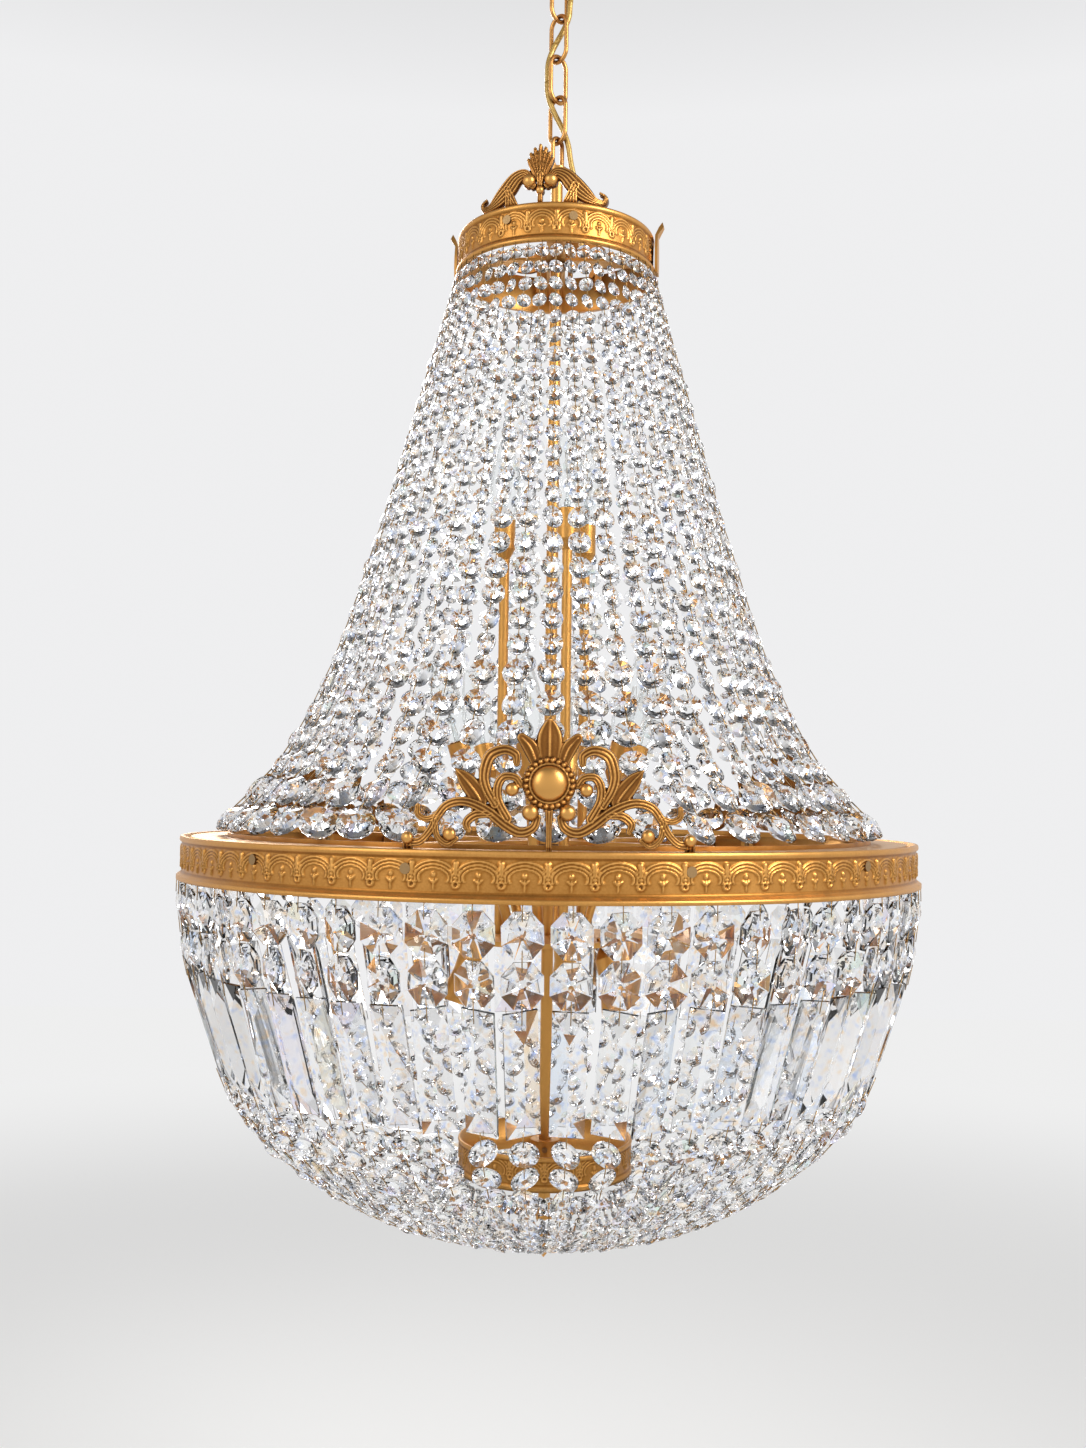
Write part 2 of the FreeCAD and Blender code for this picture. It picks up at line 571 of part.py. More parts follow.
def main_crest_shape():
    """Scroll crest of the main ring: boss, leaves, and a pair of each scroll."""
    scrolls = [BIG_SCROLL, SMALL_SCROLL, LONG_SCROLL, END_CURL, INNER_CURL, HANGING_LEAF, SIDE_LOBE]
    faces = [disc(*BOSS), leaf((0, 54), (0, 84), 8.8), stroke([(0, -1, 2), (0, 14, 2), (0, 28, 3)])]
    balls = [BOSS_DOME]
    tab_foot = -size("crest_tab_drop")
    for side in (1, -1):
        faces += [stroke(s if side == 1 else mirrored(s)) for s in scrolls]
        faces.append(leaf((side * 43, 31), (side * 59.5, 51.5), 6))
        faces += [disc(side * x, z, ball) for x, z, ball in MAIN_BALLS]
        balls += [(side * x, z, ball) for x, z, ball in MAIN_BALLS]
        x = side * MAIN_BALLS[-1][0]
        faces.append(stroke([(x, tab_foot, 4), (x, tab_foot / 2, 4), (x, 6, 3)]))
    return crest(faces, balls, size(MAIN_INNER), size("crest_thick"), tab_foot, 90, MAIN_BALLS[-1][0],
                 main_screw_level())


# The crown crest's right half
CROWN_WING = [(6, 15, 3), (12, 25, 3.4), (21, 24.5, 4.5), (28, 16, 6), (36, 8.5, 5.2), (43, 4.2, 2.6),
              (49, 4.4, 1.8), (50.6, 9, 1.4), (47, 11, 1)]
CROWN_SPRAY = [(3, 24, 2.4), (7, 32, 2.8), (9.6, 39, 2.2)]
CROWN_FOOT = [(28, 15, 3), (24, 7, 2.6), (20, -1, 2)]
CROWN_TAB = 26.6


def crown_crest_shape():
    """Small palmette crest between two volutes and leafy wings."""
    faces = [leaf((0, 20), (0, 47), 5), stroke([(0, -1, 2.6), (0, 12, 3), (0, 26, 3.4)]), disc(0, 11.5, 4)]
    balls = [(0, 11.5, 3)]
    tab_foot = -size("crown_height") * 0.5
    for side in (1, -1):
        for scroll in (CROWN_WING, CROWN_SPRAY, CROWN_FOOT):
            faces.append(stroke(scroll if side == 1 else mirrored(scroll)))
        faces.append(disc(side * 9, 18.6, 5.4))
        balls.append((side * 9, 18.6, 4))
        x = side * CROWN_TAB
        faces.append(stroke([(x, tab_foot, 3.4), (x, tab_foot / 2, 3.4), (x, 12, 3)]))
    return crest(faces, balls, size(CROWN_INNER), size("crown_crest_thick"), tab_foot, 50, CROWN_TAB,
                 crown_screw_level())


def crests():
    """Three main crests around the large ring, and two on the crown."""
    shape = main_crest_shape()
    spread = size("crest_spread_deg")
    for label, turn in (("front", 0), ("right", spread), ("left", -spread)):
        place = Placement(Vector(0, 0, size(MAIN_TOP)), Rotation(Vector(0, 0, 1), turn))
        keep(solid_of("main_crest_" + label, shape, place), "main_crest_" + label)
    shape = crown_crest_shape()
    for label, turn in (("front", 0), ("back", 180)):
        turn -= size("crown_turn_deg")
        place = Placement(Vector(0, 0, size(CROWN_TOP)), Rotation(Vector(0, 0, 1), turn))
        keep(solid_of("crown_crest_" + label, shape, place), "crown_crest_" + label)


def side_leaves():
    """Two upright leaves on the outside of the crown, halfway between its crests."""
    thick, width = size("side_leaf_thick"), size("side_leaf_width")
    radius, height, rise = size("crown_radius + crown_rim"), size("crown_height"), size("side_leaf_rise")
    spine = [(radius, 0), (radius + thick, 0), (radius + thick, height), (radius + 3 * thick, height + rise * 0.6),
             (radius + 2.4 * thick, height + rise), (radius + 1.2 * thick, height + rise * 0.6),
             (radius, height)]
    corners = [Vector(0, -r, z) for r, z in spine]
    blade = Part.Face(Part.makePolygon(corners + corners[:1])).extrude(Vector(width, 0, 0))
    blade.translate(Vector(-width / 2, 0, 0))
    tall = height + rise
    front = leaf((0, -tall * 0.35), (0, tall), width / 2).extrude(Vector(0, -2 * radius, 0))
    shape = blade.common(front)
    turns = [90 - size("crown_turn_deg"), -90 - size("crown_turn_deg")]
    places = [Placement(Vector(0, 0, size(CROWN_BOTTOM)), Rotation(Vector(0, 0, 1), t)) for t in turns]
    keep(solid_of("crown_side_leaves", copies(shape, places)), "crown_side_leaves")


# ---- Screws and nuts

def main_screw_level():
    """Height of the main crests' screws from the top of their band."""
    return -0.65 * size("crest_tab_drop")


def crown_screw_level():
    """Height of the crown crests' screws from the top of their band."""
    return -0.34 * size("crown_height")


def main_crest_screws():
    """Azimuth, radius and level of each screw of the main crests."""
    spread, half = size("crest_spread_deg"), math.degrees(math.asin(MAIN_BALLS[-1][0] / size(MAIN_INNER)))
    level = size(MAIN_TOP) + main_screw_level()
    return [(turn + side * half, size("main_radius - main_rim"), level)
            for turn in (0, spread, -spread) for side in (1, -1)]


def spoke_screws():
    """The same of the spokes' end tabs."""
    level = size(f"{SPOKE_TOP} - spoke_tab * 0.6 - screw_radius")
    return [(size("spoke_turn_deg") + 360 / SPOKES * i, size("main_radius - main_rim"), level)
            for i in range(SPOKES)]


def crown_screws():
    """The same of the crown crests."""
    turn, half = -size("crown_turn_deg"), math.degrees(math.asin(CROWN_TAB / size(CROWN_INNER)))
    level = size(CROWN_TOP) + crown_screw_level()
    return [(turn + back + side * half, size("crown_radius - crown_rim"), level)
            for back in (0, 180) for side in (1, -1)]


def radial(azimuth, radius, level):
    """A placement whose Z axis points at the stem."""
    return leaning(azimuth, radius, level, -90)


def hole_compound(spots):
    """Round holes along the radius, as wide as a screw needs to pass."""
    reach = 2 * size("screw_length")
    hole = Part.makeCylinder(size("screw_radius + hole_gap"), 2 * reach, Vector(0, 0, -reach))
    return copies(hole, [radial(*spot) for spot in spots])


def screw_holes(name, spots):
    return solid_of(name, hole_compound(spots))


def screws():
    """Round-headed screws of the crests and of the spokes, all of one size."""
    head = Part.makeCylinder(size("screw_head_radius"), size("screw_head"), Vector(0, 0, -size("screw_head")))
    shank = Part.makeCylinder(size("screw_radius"), size("screw_length"))
    spots = main_crest_screws() + spoke_screws() + crown_screws()
    screw = head.fuse(shank).removeSplitter()
    keep(solid_of("ring_screws", copies(screw, [radial(*spot) for spot in spots])), "ring_screws")


def stem_nuts():
    """Hexagon nuts on the stem that carry the crown's bars, the spider and the lamp plate."""
    nuts = []
    plates = ((CROWN_BAR, "crown_bar_thick"), (SPOKE_TOP, "spoke_thick"), (LAMP_PLATE_TOP, "lamp_plate_thick"))
    for i, (top, thick) in enumerate(plates):
        level = f"{top} - {thick} - nut_height"
        blank = doc.addObject("Part::Prism", f"nut_blank{i}")
        blank.Polygon = 6
        bind(blank, Circumradius="nut_radius", Height="nut_height", Placement__Base__z=level)
        nuts.append(cut(f"nut{i}", blank, cylinder(f"nut_bore{i}", "stem_radius", "nut_height", z=level)))
    group = doc.addObject("Part::Compound", "nuts")
    group.Links = nuts
    keep(group, "stem_nuts")


# ---- Lamps

def hole_tools(feet):
    """Holes that the lamp tubes pass through, along each tube."""
    reach = size("tall_length")
    hole = Part.makeCylinder(size("tube_radius + hole_gap"), 2 * reach, Vector(0, 0, -reach))
    return copies(hole, feet)


def lamp_plate():
    """Round lower plate with a hole for the tube of every lamp."""
    level = f"({LAMP_PLATE_TOP} - lamp_plate_thick)"
    plate = cylinder("lamp_disc", "lamp_plate_radius", "lamp_plate_thick", z=level)
    bore = cylinder("lamp_bore", "stem_radius", "lamp_plate_thick", z=level)
    tall_feet, mid_feet, down_feet = lamp_places()
    tubes = solid_of("plate_tube_holes", hole_tools(tall_feet + mid_feet + down_feet))
    keep(cut("lamp_plate", cut("lamp_plate_bored", plate, bore), tubes), "lamp_plate")


def tube_shape(length):
    """Plain lamp tube along Z, with its tail through the lamp plate."""
    radius, foot = size("tube_radius"), Vector(0, 0, -size("tube_tail"))
    length += size("tube_tail")
    return Part.makeCylinder(radius, length, foot).cut(Part.makeCylinder(radius - size("holder_wall"), length,
                                                                         foot))


def turned_shape(corners):
    """A small piece turned about Z from radius and height pairs."""
    spots = [Vector(r, 0, z) for r, z in corners]
    face = Part.Face(Part.makePolygon(spots + spots[:1]))
    return face.revolve(Vector(0, 0, 0), Vector(0, 0, 1), 360)


def holder_shape():
    """Gold cover of an upright lampholder: a tapered foot and a straight cup."""
    radius, wall = size("holder_radius"), size("holder_wall")
    taper, length, foot = size("holder_taper"), size("holder_length"), size("tube_radius")
    return turned_shape([(0, 0), (foot, 0), (radius, taper), (radius, length), (radius - wall, length),
                         (radius - wall, taper), (0, taper)])


def cup_shape():
    """Bell of a downward lamp, open at its mouth, with the threaded tail that holds it in the lamp plate."""
    neck, mouth, tail = size("cup_neck_radius"), size("down_mouth_radius"), size("tube_tail")
    length, wall, foot = size("down_length"), size("cup_wall"), size("holder_taper")
    straight = foot + size("socket_floor + cap_length") * 0.8
    return turned_shape([(0, -tail), (size("tube_radius"), -tail), (size("tube_radius"), 0), (neck, foot),
                         (neck, straight), (mouth, length),
                         (mouth - wall, length), (neck - wall, straight), (neck - wall, foot), (0, foot)])


def socket_shape(outer):
    """Insulating socket inside a cover, with the bore that takes a bulb's cap."""
    bottom = size("holder_taper")
    top = bottom + size("socket_floor + cap_length")
    bore = outer - size("socket_wall")
    return turned_shape([(0, bottom), (outer, bottom), (outer, top), (bore, top),
                         (bore, bottom + size("socket_floor")), (0, bottom + size("socket_floor"))])


def bulb_shape(radius, length, tip, start):
    """A lamp bulb turned about Z: screw cap, and a glass of smooth profile from its shoulder to its tip."""
    cap = size("cap_radius")
    foot = size("holder_taper + socket_floor + bulb_lift")
    shoulder = Vector(min(radius, size("holder_radius - holder_wall")) * 0.9, 0, start)
    glass = Part.BSplineCurve()
    glass.interpolate([shoulder, Vector(radius, 0, start + length * 0.36), Vector(radius * 0.72, 0,
                      start + length * 0.72), Vector(tip, 0, start + length)])
    rim = [Vector(tip, 0, start + length), Vector(0, 0, start + length), Vector(0, 0, foot),
           Vector(cap * 0.5, 0, foot), Vector(cap, 0, foot + cap * 0.5), Vector(cap, 0, start), shoulder]
    edges = [Part.LineSegment(a, b).toShape() for a, b in zip(rim, rim[1:])]
    return Part.Face(Part.Wire([glass.toShape()] + edges)).revolve(Vector(0, 0, 0), Vector(0, 0, 1), 360)


def lamp_places():
    """Where the axis of each kind of lamp leaves the lamp plate."""
    plate = size(LAMP_PLATE_TOP)
    tall, mid, down = size("tall_turn_deg"), size("mid_turn_deg"), size("mid_turn_deg")
    tilt = size("mid_tilt_deg")
    tall_feet = [leaning(tall + 120 * i, size("tall_reach"), plate, 0) for i in range(TALL_LAMPS)]
    mid_feet = [leaning(mid + 60 * i, size("mid_reach"), plate, tilt) for i in range(MID_LAMPS)]
    down_feet = [leaning(down + 120 * i, size("down_reach"), plate - size("lamp_plate_thick"),
                         180 - size("down_tilt_deg")) for i in range(DOWN_LAMPS)]
    return tall_feet, mid_feet, down_feet


def lamps():
    """Twelve lamps: three tall, six leaning outwards and three facing down, each with its own bulb."""
    tall_feet, mid_feet, down_feet = lamp_places()
    tall, mid = size("tall_length"), size("mid_length")
    down_lift = size("tube_radius + hole_gap") * math.tan(math.radians(size("down_tilt_deg")))
    tall_holders = [shifted(p, tall) for p in tall_feet]
    mid_holders = [shifted(p, mid) for p in mid_feet]
    cups = [shifted(p, down_lift) for p in down_feet]
    keep(solid_of("tall_tubes", copies(tube_shape(tall), tall_feet)), "tall_lamp_tubes")
    keep(solid_of("mid_tubes", copies(tube_shape(mid), mid_feet)), "mid_lamp_tubes")
    keep(solid_of("tall_holders", copies(holder_shape(), tall_holders)), "tall_lamp_holders")
    keep(solid_of("mid_holders", copies(holder_shape(), mid_holders)), "mid_lamp_holders")
    keep(solid_of("down_cups", copies(cup_shape(), cups)), "down_lamp_cups")
    upright = socket_shape(size("holder_radius - holder_wall"))
    small = socket_shape(size("cup_neck_radius - cup_wall"))
    sockets = copies(upright, tall_holders + mid_holders).Solids + copies(small, cups).Solids
    keep(solid_of("lampholders", Part.makeCompound(sockets)), "lampholders")
    start = size("holder_length + bulb_lift")
    bulb = bulb_shape(size("bulb_radius"), size("bulb_length"), size("bulb_tip_radius"), start)
    start = size("holder_taper + socket_floor + cap_length + bulb_lift")
    pygmy = bulb_shape(size("small_bulb_radius"), size("small_bulb_length"), size("bulb_tip_radius"), start)
    for kind, shape, places in (("tall", bulb, tall_holders), ("mid", bulb, mid_holders), ("down", pygmy, cups)):
        for i, place in enumerate(places, start=1):
            keep(solid_of(f"bulb_{kind}_{i}", shape, place), f"bulb_{kind}_{i}")


# ---- Crystals

def crystal(width, height, thick, corners, turn_deg):
    """A cut stone: a flat polygon with one point in front and one behind. Its strand runs along Z."""
    rim = []
    for i in range(corners):
        angle = math.radians(turn_deg + 360 / corners * i)
        rim.append(Vector(width / 2 * math.sin(angle), 0, height / 2 * math.cos(angle)))
    faces = []
    for apex in (Vector(0, -thick / 2, 0), Vector(0, thick / 2, 0)):
        for a, b in zip(rim, rim[1:] + rim[:1]):
            faces.append(Part.Face(Part.makePolygon([a, b, apex, a])))
    return Part.makeSolid(Part.makeShell(faces))


def prism(width, height, thick, bevel):
    """A long flat stone whose four edges are bevelled on both sides."""
    def level(y, inset):
        half, tall = width / 2 - inset, height / 2 - inset
        return [Vector(x, y, z) for x, z in ((-half, -tall), (half, -tall), (half, tall), (-half, tall))]
    front, middle, back = level(-thick / 2, bevel), level(0, 0), level(thick / 2, bevel)
    faces = [Part.Face(Part.makePolygon(loop + loop[:1])) for loop in (front, back)]
    for outer in (front, back):
        for i in range(4):
            k = (i + 1) % 4
            faces.append(Part.Face(Part.makePolygon([middle[i], middle[k], outer[k], outer[i], middle[i]])))
    return Part.makeSolid(Part.makeShell(faces))


class Profile:
    """A strand's line in radius and height, walked by its length."""

    def __init__(self, spots):
        self.spots = spots
        self.reach = [0.0]
        for (r0, z0), (r1, z1) in zip(spots, spots[1:]):
            self.reach.append(self.reach[-1] + math.hypot(r1 - r0, z1 - z0))
        self.length = self.reach[-1]

    def at(self, distance):
        """Radius and height at a distance along the line."""
        i = 1
        while i < len(self.reach) - 1 and self.reach[i] < distance:
            i += 1
        (r0, z0), (r1, z1) = self.spots[i - 1], self.spots[i]
        share = (distance - self.reach[i - 1]) / (self.reach[i] - self.reach[i - 1])
        return r0 + (r1 - r0) * share, z0 + (z1 - z0) * share

    def span(self, start, end):
        """Middle radius and height of the straight span between two distances, and its slope from straight
        down."""
        (r0, z0), (r1, z1) = self.at(start), self.at(end)
        return (r0 + r1) / 2, (z0 + z1) / 2, math.degrees(math.atan2(r1 - r0, z0 - z1))


def tent_profile():
    """From the crown's lower edge to the shelf: a straight slope plus a flare that grows towards the ring."""
    top, bottom = size(f"{CROWN_BOTTOM} - crystal_gap"), size(f"{SHELF_TOP} + crystal_gap + 4")
    start, end = size("crown_radius - tent_hook_inset"), size(f"{SHELF_INNER} + tent_land_inset")
    drop, slope, fade = top - bottom, size("tent_slope"), size("tent_flare")
    flare = end - start - slope * drop
    spots = []
    for i in range(121):
        d = drop * i / 120
        spots.append((start + slope * d + flare * math.exp((d - drop) / fade), top - d))
    return Profile(spots)


def bezier(a, b, c, d, count):
    """Points of a cubic curve with end points a and d and pull points b and c."""
    spots = []
    for i in range(1, count + 1):
        t = i / count
        w = ((1 - t) ** 3, 3 * t * (1 - t) ** 2, 3 * t * t * (1 - t), t ** 3)
        spots.append(tuple(w[0] * p + w[1] * q + w[2] * r + w[3] * s for p, q, r, s in zip(a, b, c, d)))
    return spots


def belly_profile():
    """From the foot of the prisms inwards along the bowl's belly and up to the bottom ring."""
    foot_r, foot_z = prism_line()[1]
    low = foot_z - size("belly_drop")
    belly = (size("belly_radius"), low)
    lean = math.atan2(size("prism_inset"), size("prism_length"))
    pull = 46
    sweep = [(foot_r, foot_z)] + bezier((foot_r, foot_z), (foot_r - pull * math.sin(lean),
             foot_z - pull * math.cos(lean)), (belly[0] + 62, low), belly, 40)
    ring_r, ring_z = size("bottom_radius + bottom_rim"), size(BOTTOM_LOW)
    sweep += bezier(belly, (belly[0] - 14, low), (ring_r, ring_z - 18), (ring_r, ring_z - 1.5), 16)
    return Profile(sweep)


def prism_line():
    """The upper and lower end of a prism, in radius and height."""
    top_r = size("main_radius - main_wall / 2 - octagon_row_inset * 2")
    top_z = size(f"{MAIN_BOTTOM} - hook_drop - 2 * octagon_height - 2 * crystal_gap")
    length, inset = size("prism_length"), size("prism_inset")
    return (top_r, top_z), (top_r - inset, top_z - math.sqrt(length ** 2 - inset ** 2))


def hung(strands, radius, level, slope_deg, first_deg=0):
    """The placements of one crystal on each of a number of strands: its face turned outwards, its length
    along the strand."""
    return [leaning(first_deg + 360 / strands * i, radius, level, -slope_deg) for i in range(strands)]


def tent_crystals():
    """Stones of the upper strands, one node for each of three sizes."""
    profile = tent_profile()
    strands, gap = int(size("tent_strands")), size("crystal_gap")
    stretch = profile.length / sum(count * pitch for _, count, pitch in TENT_CRYSTALS)
    reach = 0
    for label, count, pitch in TENT_CRYSTALS:
        pitch *= stretch
        stone = crystal(pitch * 0.9, pitch - gap, pitch * size("thin_ratio"), 6, 0)
        places = []
        for _ in range(count):
            radius, level, slope = profile.span(reach, reach + pitch)
            places += hung(strands, radius, level, slope)
            reach += pitch
        keep(solid_of("tent_" + label, copies(stone, places)), f"tent_crystals_{label}")
    print(f"tent strand length {profile.length:.0f} mm")


def basket_crystals():
    """Hooks, two rows of octagons, the long prisms and the beads under them."""
    strands, gap = int(size("basket_strands")), size("crystal_gap")
    octagon, step = size("octagon_height"), size("octagon_row_inset")
    radius, level = size("main_radius - main_wall / 2"), size(MAIN_BOTTOM)
    drop, thick, first = size("hook_drop"), size("hook_thick"), size("basket_turn_deg")
    shank = Part.makeBox(thick, thick, drop, Vector(-thick / 2, -thick / 2, -drop))
    keep(solid_of("hooks", copies(shank, hung(strands, radius, level, 0, first))), "basket_hooks")
    stone = crystal(size("octagon_width") / math.cos(math.pi / 8), octagon / math.cos(math.pi / 8),
                    size("octagon_thick"), 8, 22.5)
    lean = math.degrees(math.asin(step / octagon))
    level -= drop
    for row in (1, 2):
        places = hung(strands, radius - step / 2, level - octagon / 2, -lean, first)
        keep(solid_of(f"octagons_{row}", copies(stone, places)), f"octagon_row_{row}")
        radius, level = radius - step, level - octagon - gap
    (top_r, top_z), (foot_r, foot_z) = prism_line()
    stone = prism(size("prism_width"), size("prism_length") - gap, size("prism_thick"), size("prism_bevel"))
    lean = math.degrees(math.asin(size("prism_inset") / size("prism_length")))
    places = hung(strands, (top_r + foot_r) / 2, (top_z + foot_z) / 2, -lean, first)
    keep(solid_of("prisms", copies(stone, places)), "drop_prisms")
    basket_beads(strands // int(size("basket_bead_step")), gap, first)


def basket_beads(strands, gap, first):
    """Beads of every second strand, from the prisms to the bottom ring."""
    profile = belly_profile()
    stretch = profile.length / sum(count * pitch for count, pitch in BASKET_BEADS)
    solids, reach = [], 0
    for count, pitch in BASKET_BEADS:
        pitch *= stretch
        stone = crystal(pitch * 0.8, pitch - gap, pitch * size("thin_ratio"), 6, 0)
        for _ in range(count):
            radius, level, slope = profile.span(reach, reach + pitch)
            solids += copies(stone, hung(strands, radius, level, slope, first)).Solids
            reach += pitch
    keep(solid_of("beads", Part.makeCompound(solids)), "basket_beads")
    print(f"basket strand below the prisms {profile.length:.0f} mm")


# ---- Bottom ring and finial

def bottom():
    """Small lower ring on its cross bar, the collar that clamps it to the stem, and the finial."""
    keep(ring_band("bottom_ring", "bottom_radius", "bottom_wall", "bottom_rim", "bottom_height", "0",
                   BOTTOM_LOW), "bottom_ring")
    inner = "(bottom_radius - bottom_wall)"
    reach = f"sqrt({inner}^2 - (bottom_bar_width / 2)^2)"
    collar = cylinder("bottom_collar", "collar_radius", "collar_height", z=f"{BOTTOM_LOW} + bottom_bar_thick")
    bars = cross_bars("bottom_bars", reach, "bottom_bar_width", "bottom_bar_thick", BOTTOM_LOW, 2, 0,
                      [collar])
    spot = (0, size("collar_radius"), size(f"{BOTTOM_TOP} - screw_head_radius * 2.5"))
    keep(cut("bottom_spider", bars, screw_holes("collar_hole", [spot])), "bottom_spider")
    length = size("collar_radius - stem_radius - hole_gap")
    shank = Part.makeCylinder(size("screw_radius"), length + size("screw_head"),
                              Vector(0, 0, -size("screw_head")))
    keep(solid_of("set_screw_shank", shank, radial(*spot)), "set_screw")
    keep(turned("finial", [
        ("0", "0"), ("finial_radius * 0.2", "0", "-finial_length * 0.9"),
        ("finial_radius", "finial_length * 0.5"), ("finial_radius", "finial_length * 0.6", "finial_length / 4"),
        ("finial_neck_radius", "finial_length * 0.84"), ("finial_neck_radius", "finial_length"),
        ("0", "finial_length"),
    ], f"{STEM_LOW} - finial_gap - finial_length"), "finial")


def build():
    ceiling_strap()
    canopy()
    canopy_nipple()
    canopy_loop()
    terminal_block()
    chain_links()
    stem_eye()
    stem()
    supply_cable()
    cable_fittings()
    crown()
    main_ring()
    main_spider()
    crests()
    side_leaves()
    screws()
    stem_nuts()
    lamp_plate()
    lamps()
    tent_crystals()
    basket_crystals()
    bottom()
    doc.recompute()


def check():
    """Stops if any object of the document failed, or a sub-part has no valid shape."""
    for obj in doc.Objects:
        if {"Invalid", "Error"} & set(obj.State):
            raise RuntimeError(f"{obj.Name} failed: {obj.State}")
    for label, obj in subparts.items():
        if obj.Shape.isNull() or not obj.Shape.isValid():
            raise RuntimeError(f"{label} has no valid shape")


build()
check()
for label, obj in subparts.items():
    obj.Shape.exportStep(f"parts/{label}.step")
print(len(subparts), "sub-parts")
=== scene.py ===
"""Looks of a crystal basket chandelier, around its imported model. Sizes are in millimetres unless said."""
import math

import bpy
import numpy as np
from mathutils import Matrix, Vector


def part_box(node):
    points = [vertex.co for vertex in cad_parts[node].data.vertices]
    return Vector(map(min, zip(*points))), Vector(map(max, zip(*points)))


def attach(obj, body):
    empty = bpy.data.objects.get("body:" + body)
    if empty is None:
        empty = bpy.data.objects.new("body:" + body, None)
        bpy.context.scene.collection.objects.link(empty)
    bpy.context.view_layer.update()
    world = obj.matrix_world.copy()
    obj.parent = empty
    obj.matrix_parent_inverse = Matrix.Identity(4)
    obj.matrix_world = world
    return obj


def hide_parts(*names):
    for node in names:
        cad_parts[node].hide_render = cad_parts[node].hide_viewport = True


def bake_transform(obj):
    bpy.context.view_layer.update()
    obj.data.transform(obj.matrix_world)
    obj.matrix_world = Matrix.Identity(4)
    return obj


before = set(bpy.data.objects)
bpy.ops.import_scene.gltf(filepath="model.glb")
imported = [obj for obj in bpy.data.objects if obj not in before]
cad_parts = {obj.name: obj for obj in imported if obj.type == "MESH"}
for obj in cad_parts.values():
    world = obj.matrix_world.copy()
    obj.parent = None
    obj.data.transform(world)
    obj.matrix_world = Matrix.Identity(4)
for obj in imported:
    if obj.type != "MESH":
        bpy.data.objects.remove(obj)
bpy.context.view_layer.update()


# ---------------------------------------------------------------- Studio
# A pale floor and a pale surround, with soft lamps on both sides and behind, and the camera level with the
# hanging crystal, a little above the large ring. Its tilts are in radians.

MM = 0.001
CAMERA_PLACE = (0, -1164.3, -780)
PITCH, ROLL, YAW = 0.0516, 0.0130, -0.0052
FOCAL_PIXELS, PHOTO_HEIGHT, SENSOR = 1380, 1448, 36


def staged(name, data, axes, place):
    """A camera or lamp at a place, with its own x, y and z along three axes."""
    obj = bpy.data.objects.new(name, data)
    rows = [[axis[i] for axis in axes] + [place[i] * MM] for i in range(3)]
    obj.matrix_world = Matrix(rows + [[0, 0, 0, 1]])
    bpy.context.scene.collection.objects.link(obj)
    return obj


def camera():
    """The camera's axes: forward from pitch and yaw, then right and up turned by the roll."""
    cp, sp, cy, sy = math.cos(PITCH), math.sin(PITCH), math.cos(YAW), math.sin(YAW)
    ahead = np.array([cp * sy, cp * cy, sp])
    over = np.array([-sp * sy, -sp * cy, cp])
    side = np.array([cy, -sy, 0])
    right = math.cos(ROLL) * side + math.sin(ROLL) * over
    up = -math.sin(ROLL) * side + math.cos(ROLL) * over
    lens = bpy.data.cameras.new("camera")
    lens.sensor_width, lens.lens = SENSOR, SENSOR * FOCAL_PIXELS / PHOTO_HEIGHT
    lens.clip_end = 50
    bpy.context.scene.camera = staged("camera", lens, (right, up, -ahead), CAMERA_PLACE)


def fill(node, inputs):
    """Gives each named input of a node a value, or a link from another node's output."""
    for key, value in inputs.items():
        if hasattr(value, "is_output"):
            node.id_data.links.new(value, node.inputs[key])
        else:
            node.inputs[key].default_value = value


def node_adder(tree):
    """A function that adds shader nodes to a tree, with their inputs and settings."""
    def add(kind, inputs, **settings):
        node = tree.nodes.new("ShaderNode" + kind)
        for key, value in settings.items():
            setattr(node, key, value)
        fill(node, inputs)
        return node

    return add


def ramp(node, *stops):
    """Sets a colour ramp's stops, each a place and a colour."""
    band = node.color_ramp
    while len(band.elements) < len(stops):
        band.elements.new(0.5)
    for element, (place, colour) in zip(band.elements, stops):
        element.position = place
        element.color = (*colour, 1)


def seen_share(add):
    """1 where a surface is seen, mirrored or looked at through glass, and 0 where it only lights."""
    path = add("LightPath", {})
    mirrored = add("Math", {0: path.outputs["Is Glossy Ray"], 1: path.outputs["Is Transmission Ray"]},
                   operation="MAXIMUM")
    seen = add("Math", {0: mirrored.outputs[0], 1: path.outputs["Is Camera Ray"]}, operation="MAXIMUM")
    return seen.outputs[0]


def surround(lighting):
    """World colour: a pale backdrop that dims towards the zenith where it is seen, mirrored or looked at
    through glass, and an even grey where it only lights."""
    world = bpy.data.worlds.new("surround")
    bpy.context.scene.world = world
    world.use_nodes = True
    world.node_tree.nodes.clear()
    add = node_adder(world.node_tree)
    split = add("SeparateXYZ", {0: add("TexCoord", {}).outputs["Generated"]})
    tone = add("ValToRGB", {"Fac": split.outputs["Z"]})
    ramp(tone, (0.45, (0.86, 0.86, 0.8686)), (0.92, (0.16, 0.16, 0.1616)))
    plain = add("Background", {"Strength": lighting})
    pale = add("Background", {"Color": tone.outputs["Color"]})
    mix = add("MixShader", {0: seen_share(add), 1: plain.outputs[0], 2: pale.outputs[0]})
    add("OutputWorld", {0: mix.outputs[0]})


def unit(vectors):
    """A vector, or every row of an array of vectors, over its length."""
    return vectors / np.linalg.norm(vectors, axis=-1, keepdims=True)


def lamp(name, place, aim, width, height, watts):
    """A soft rectangular lamp at a place, facing a point."""
    data = bpy.data.lights.new(name, "AREA")
    data.shape, data.size, data.size_y, data.energy = "RECTANGLE", width * MM, height * MM, watts
    away = unit(np.subtract(place, aim))
    side = unit(np.cross((0, 0, 1), away))
    staged(name, data, (side, np.cross(away, side), away), place)


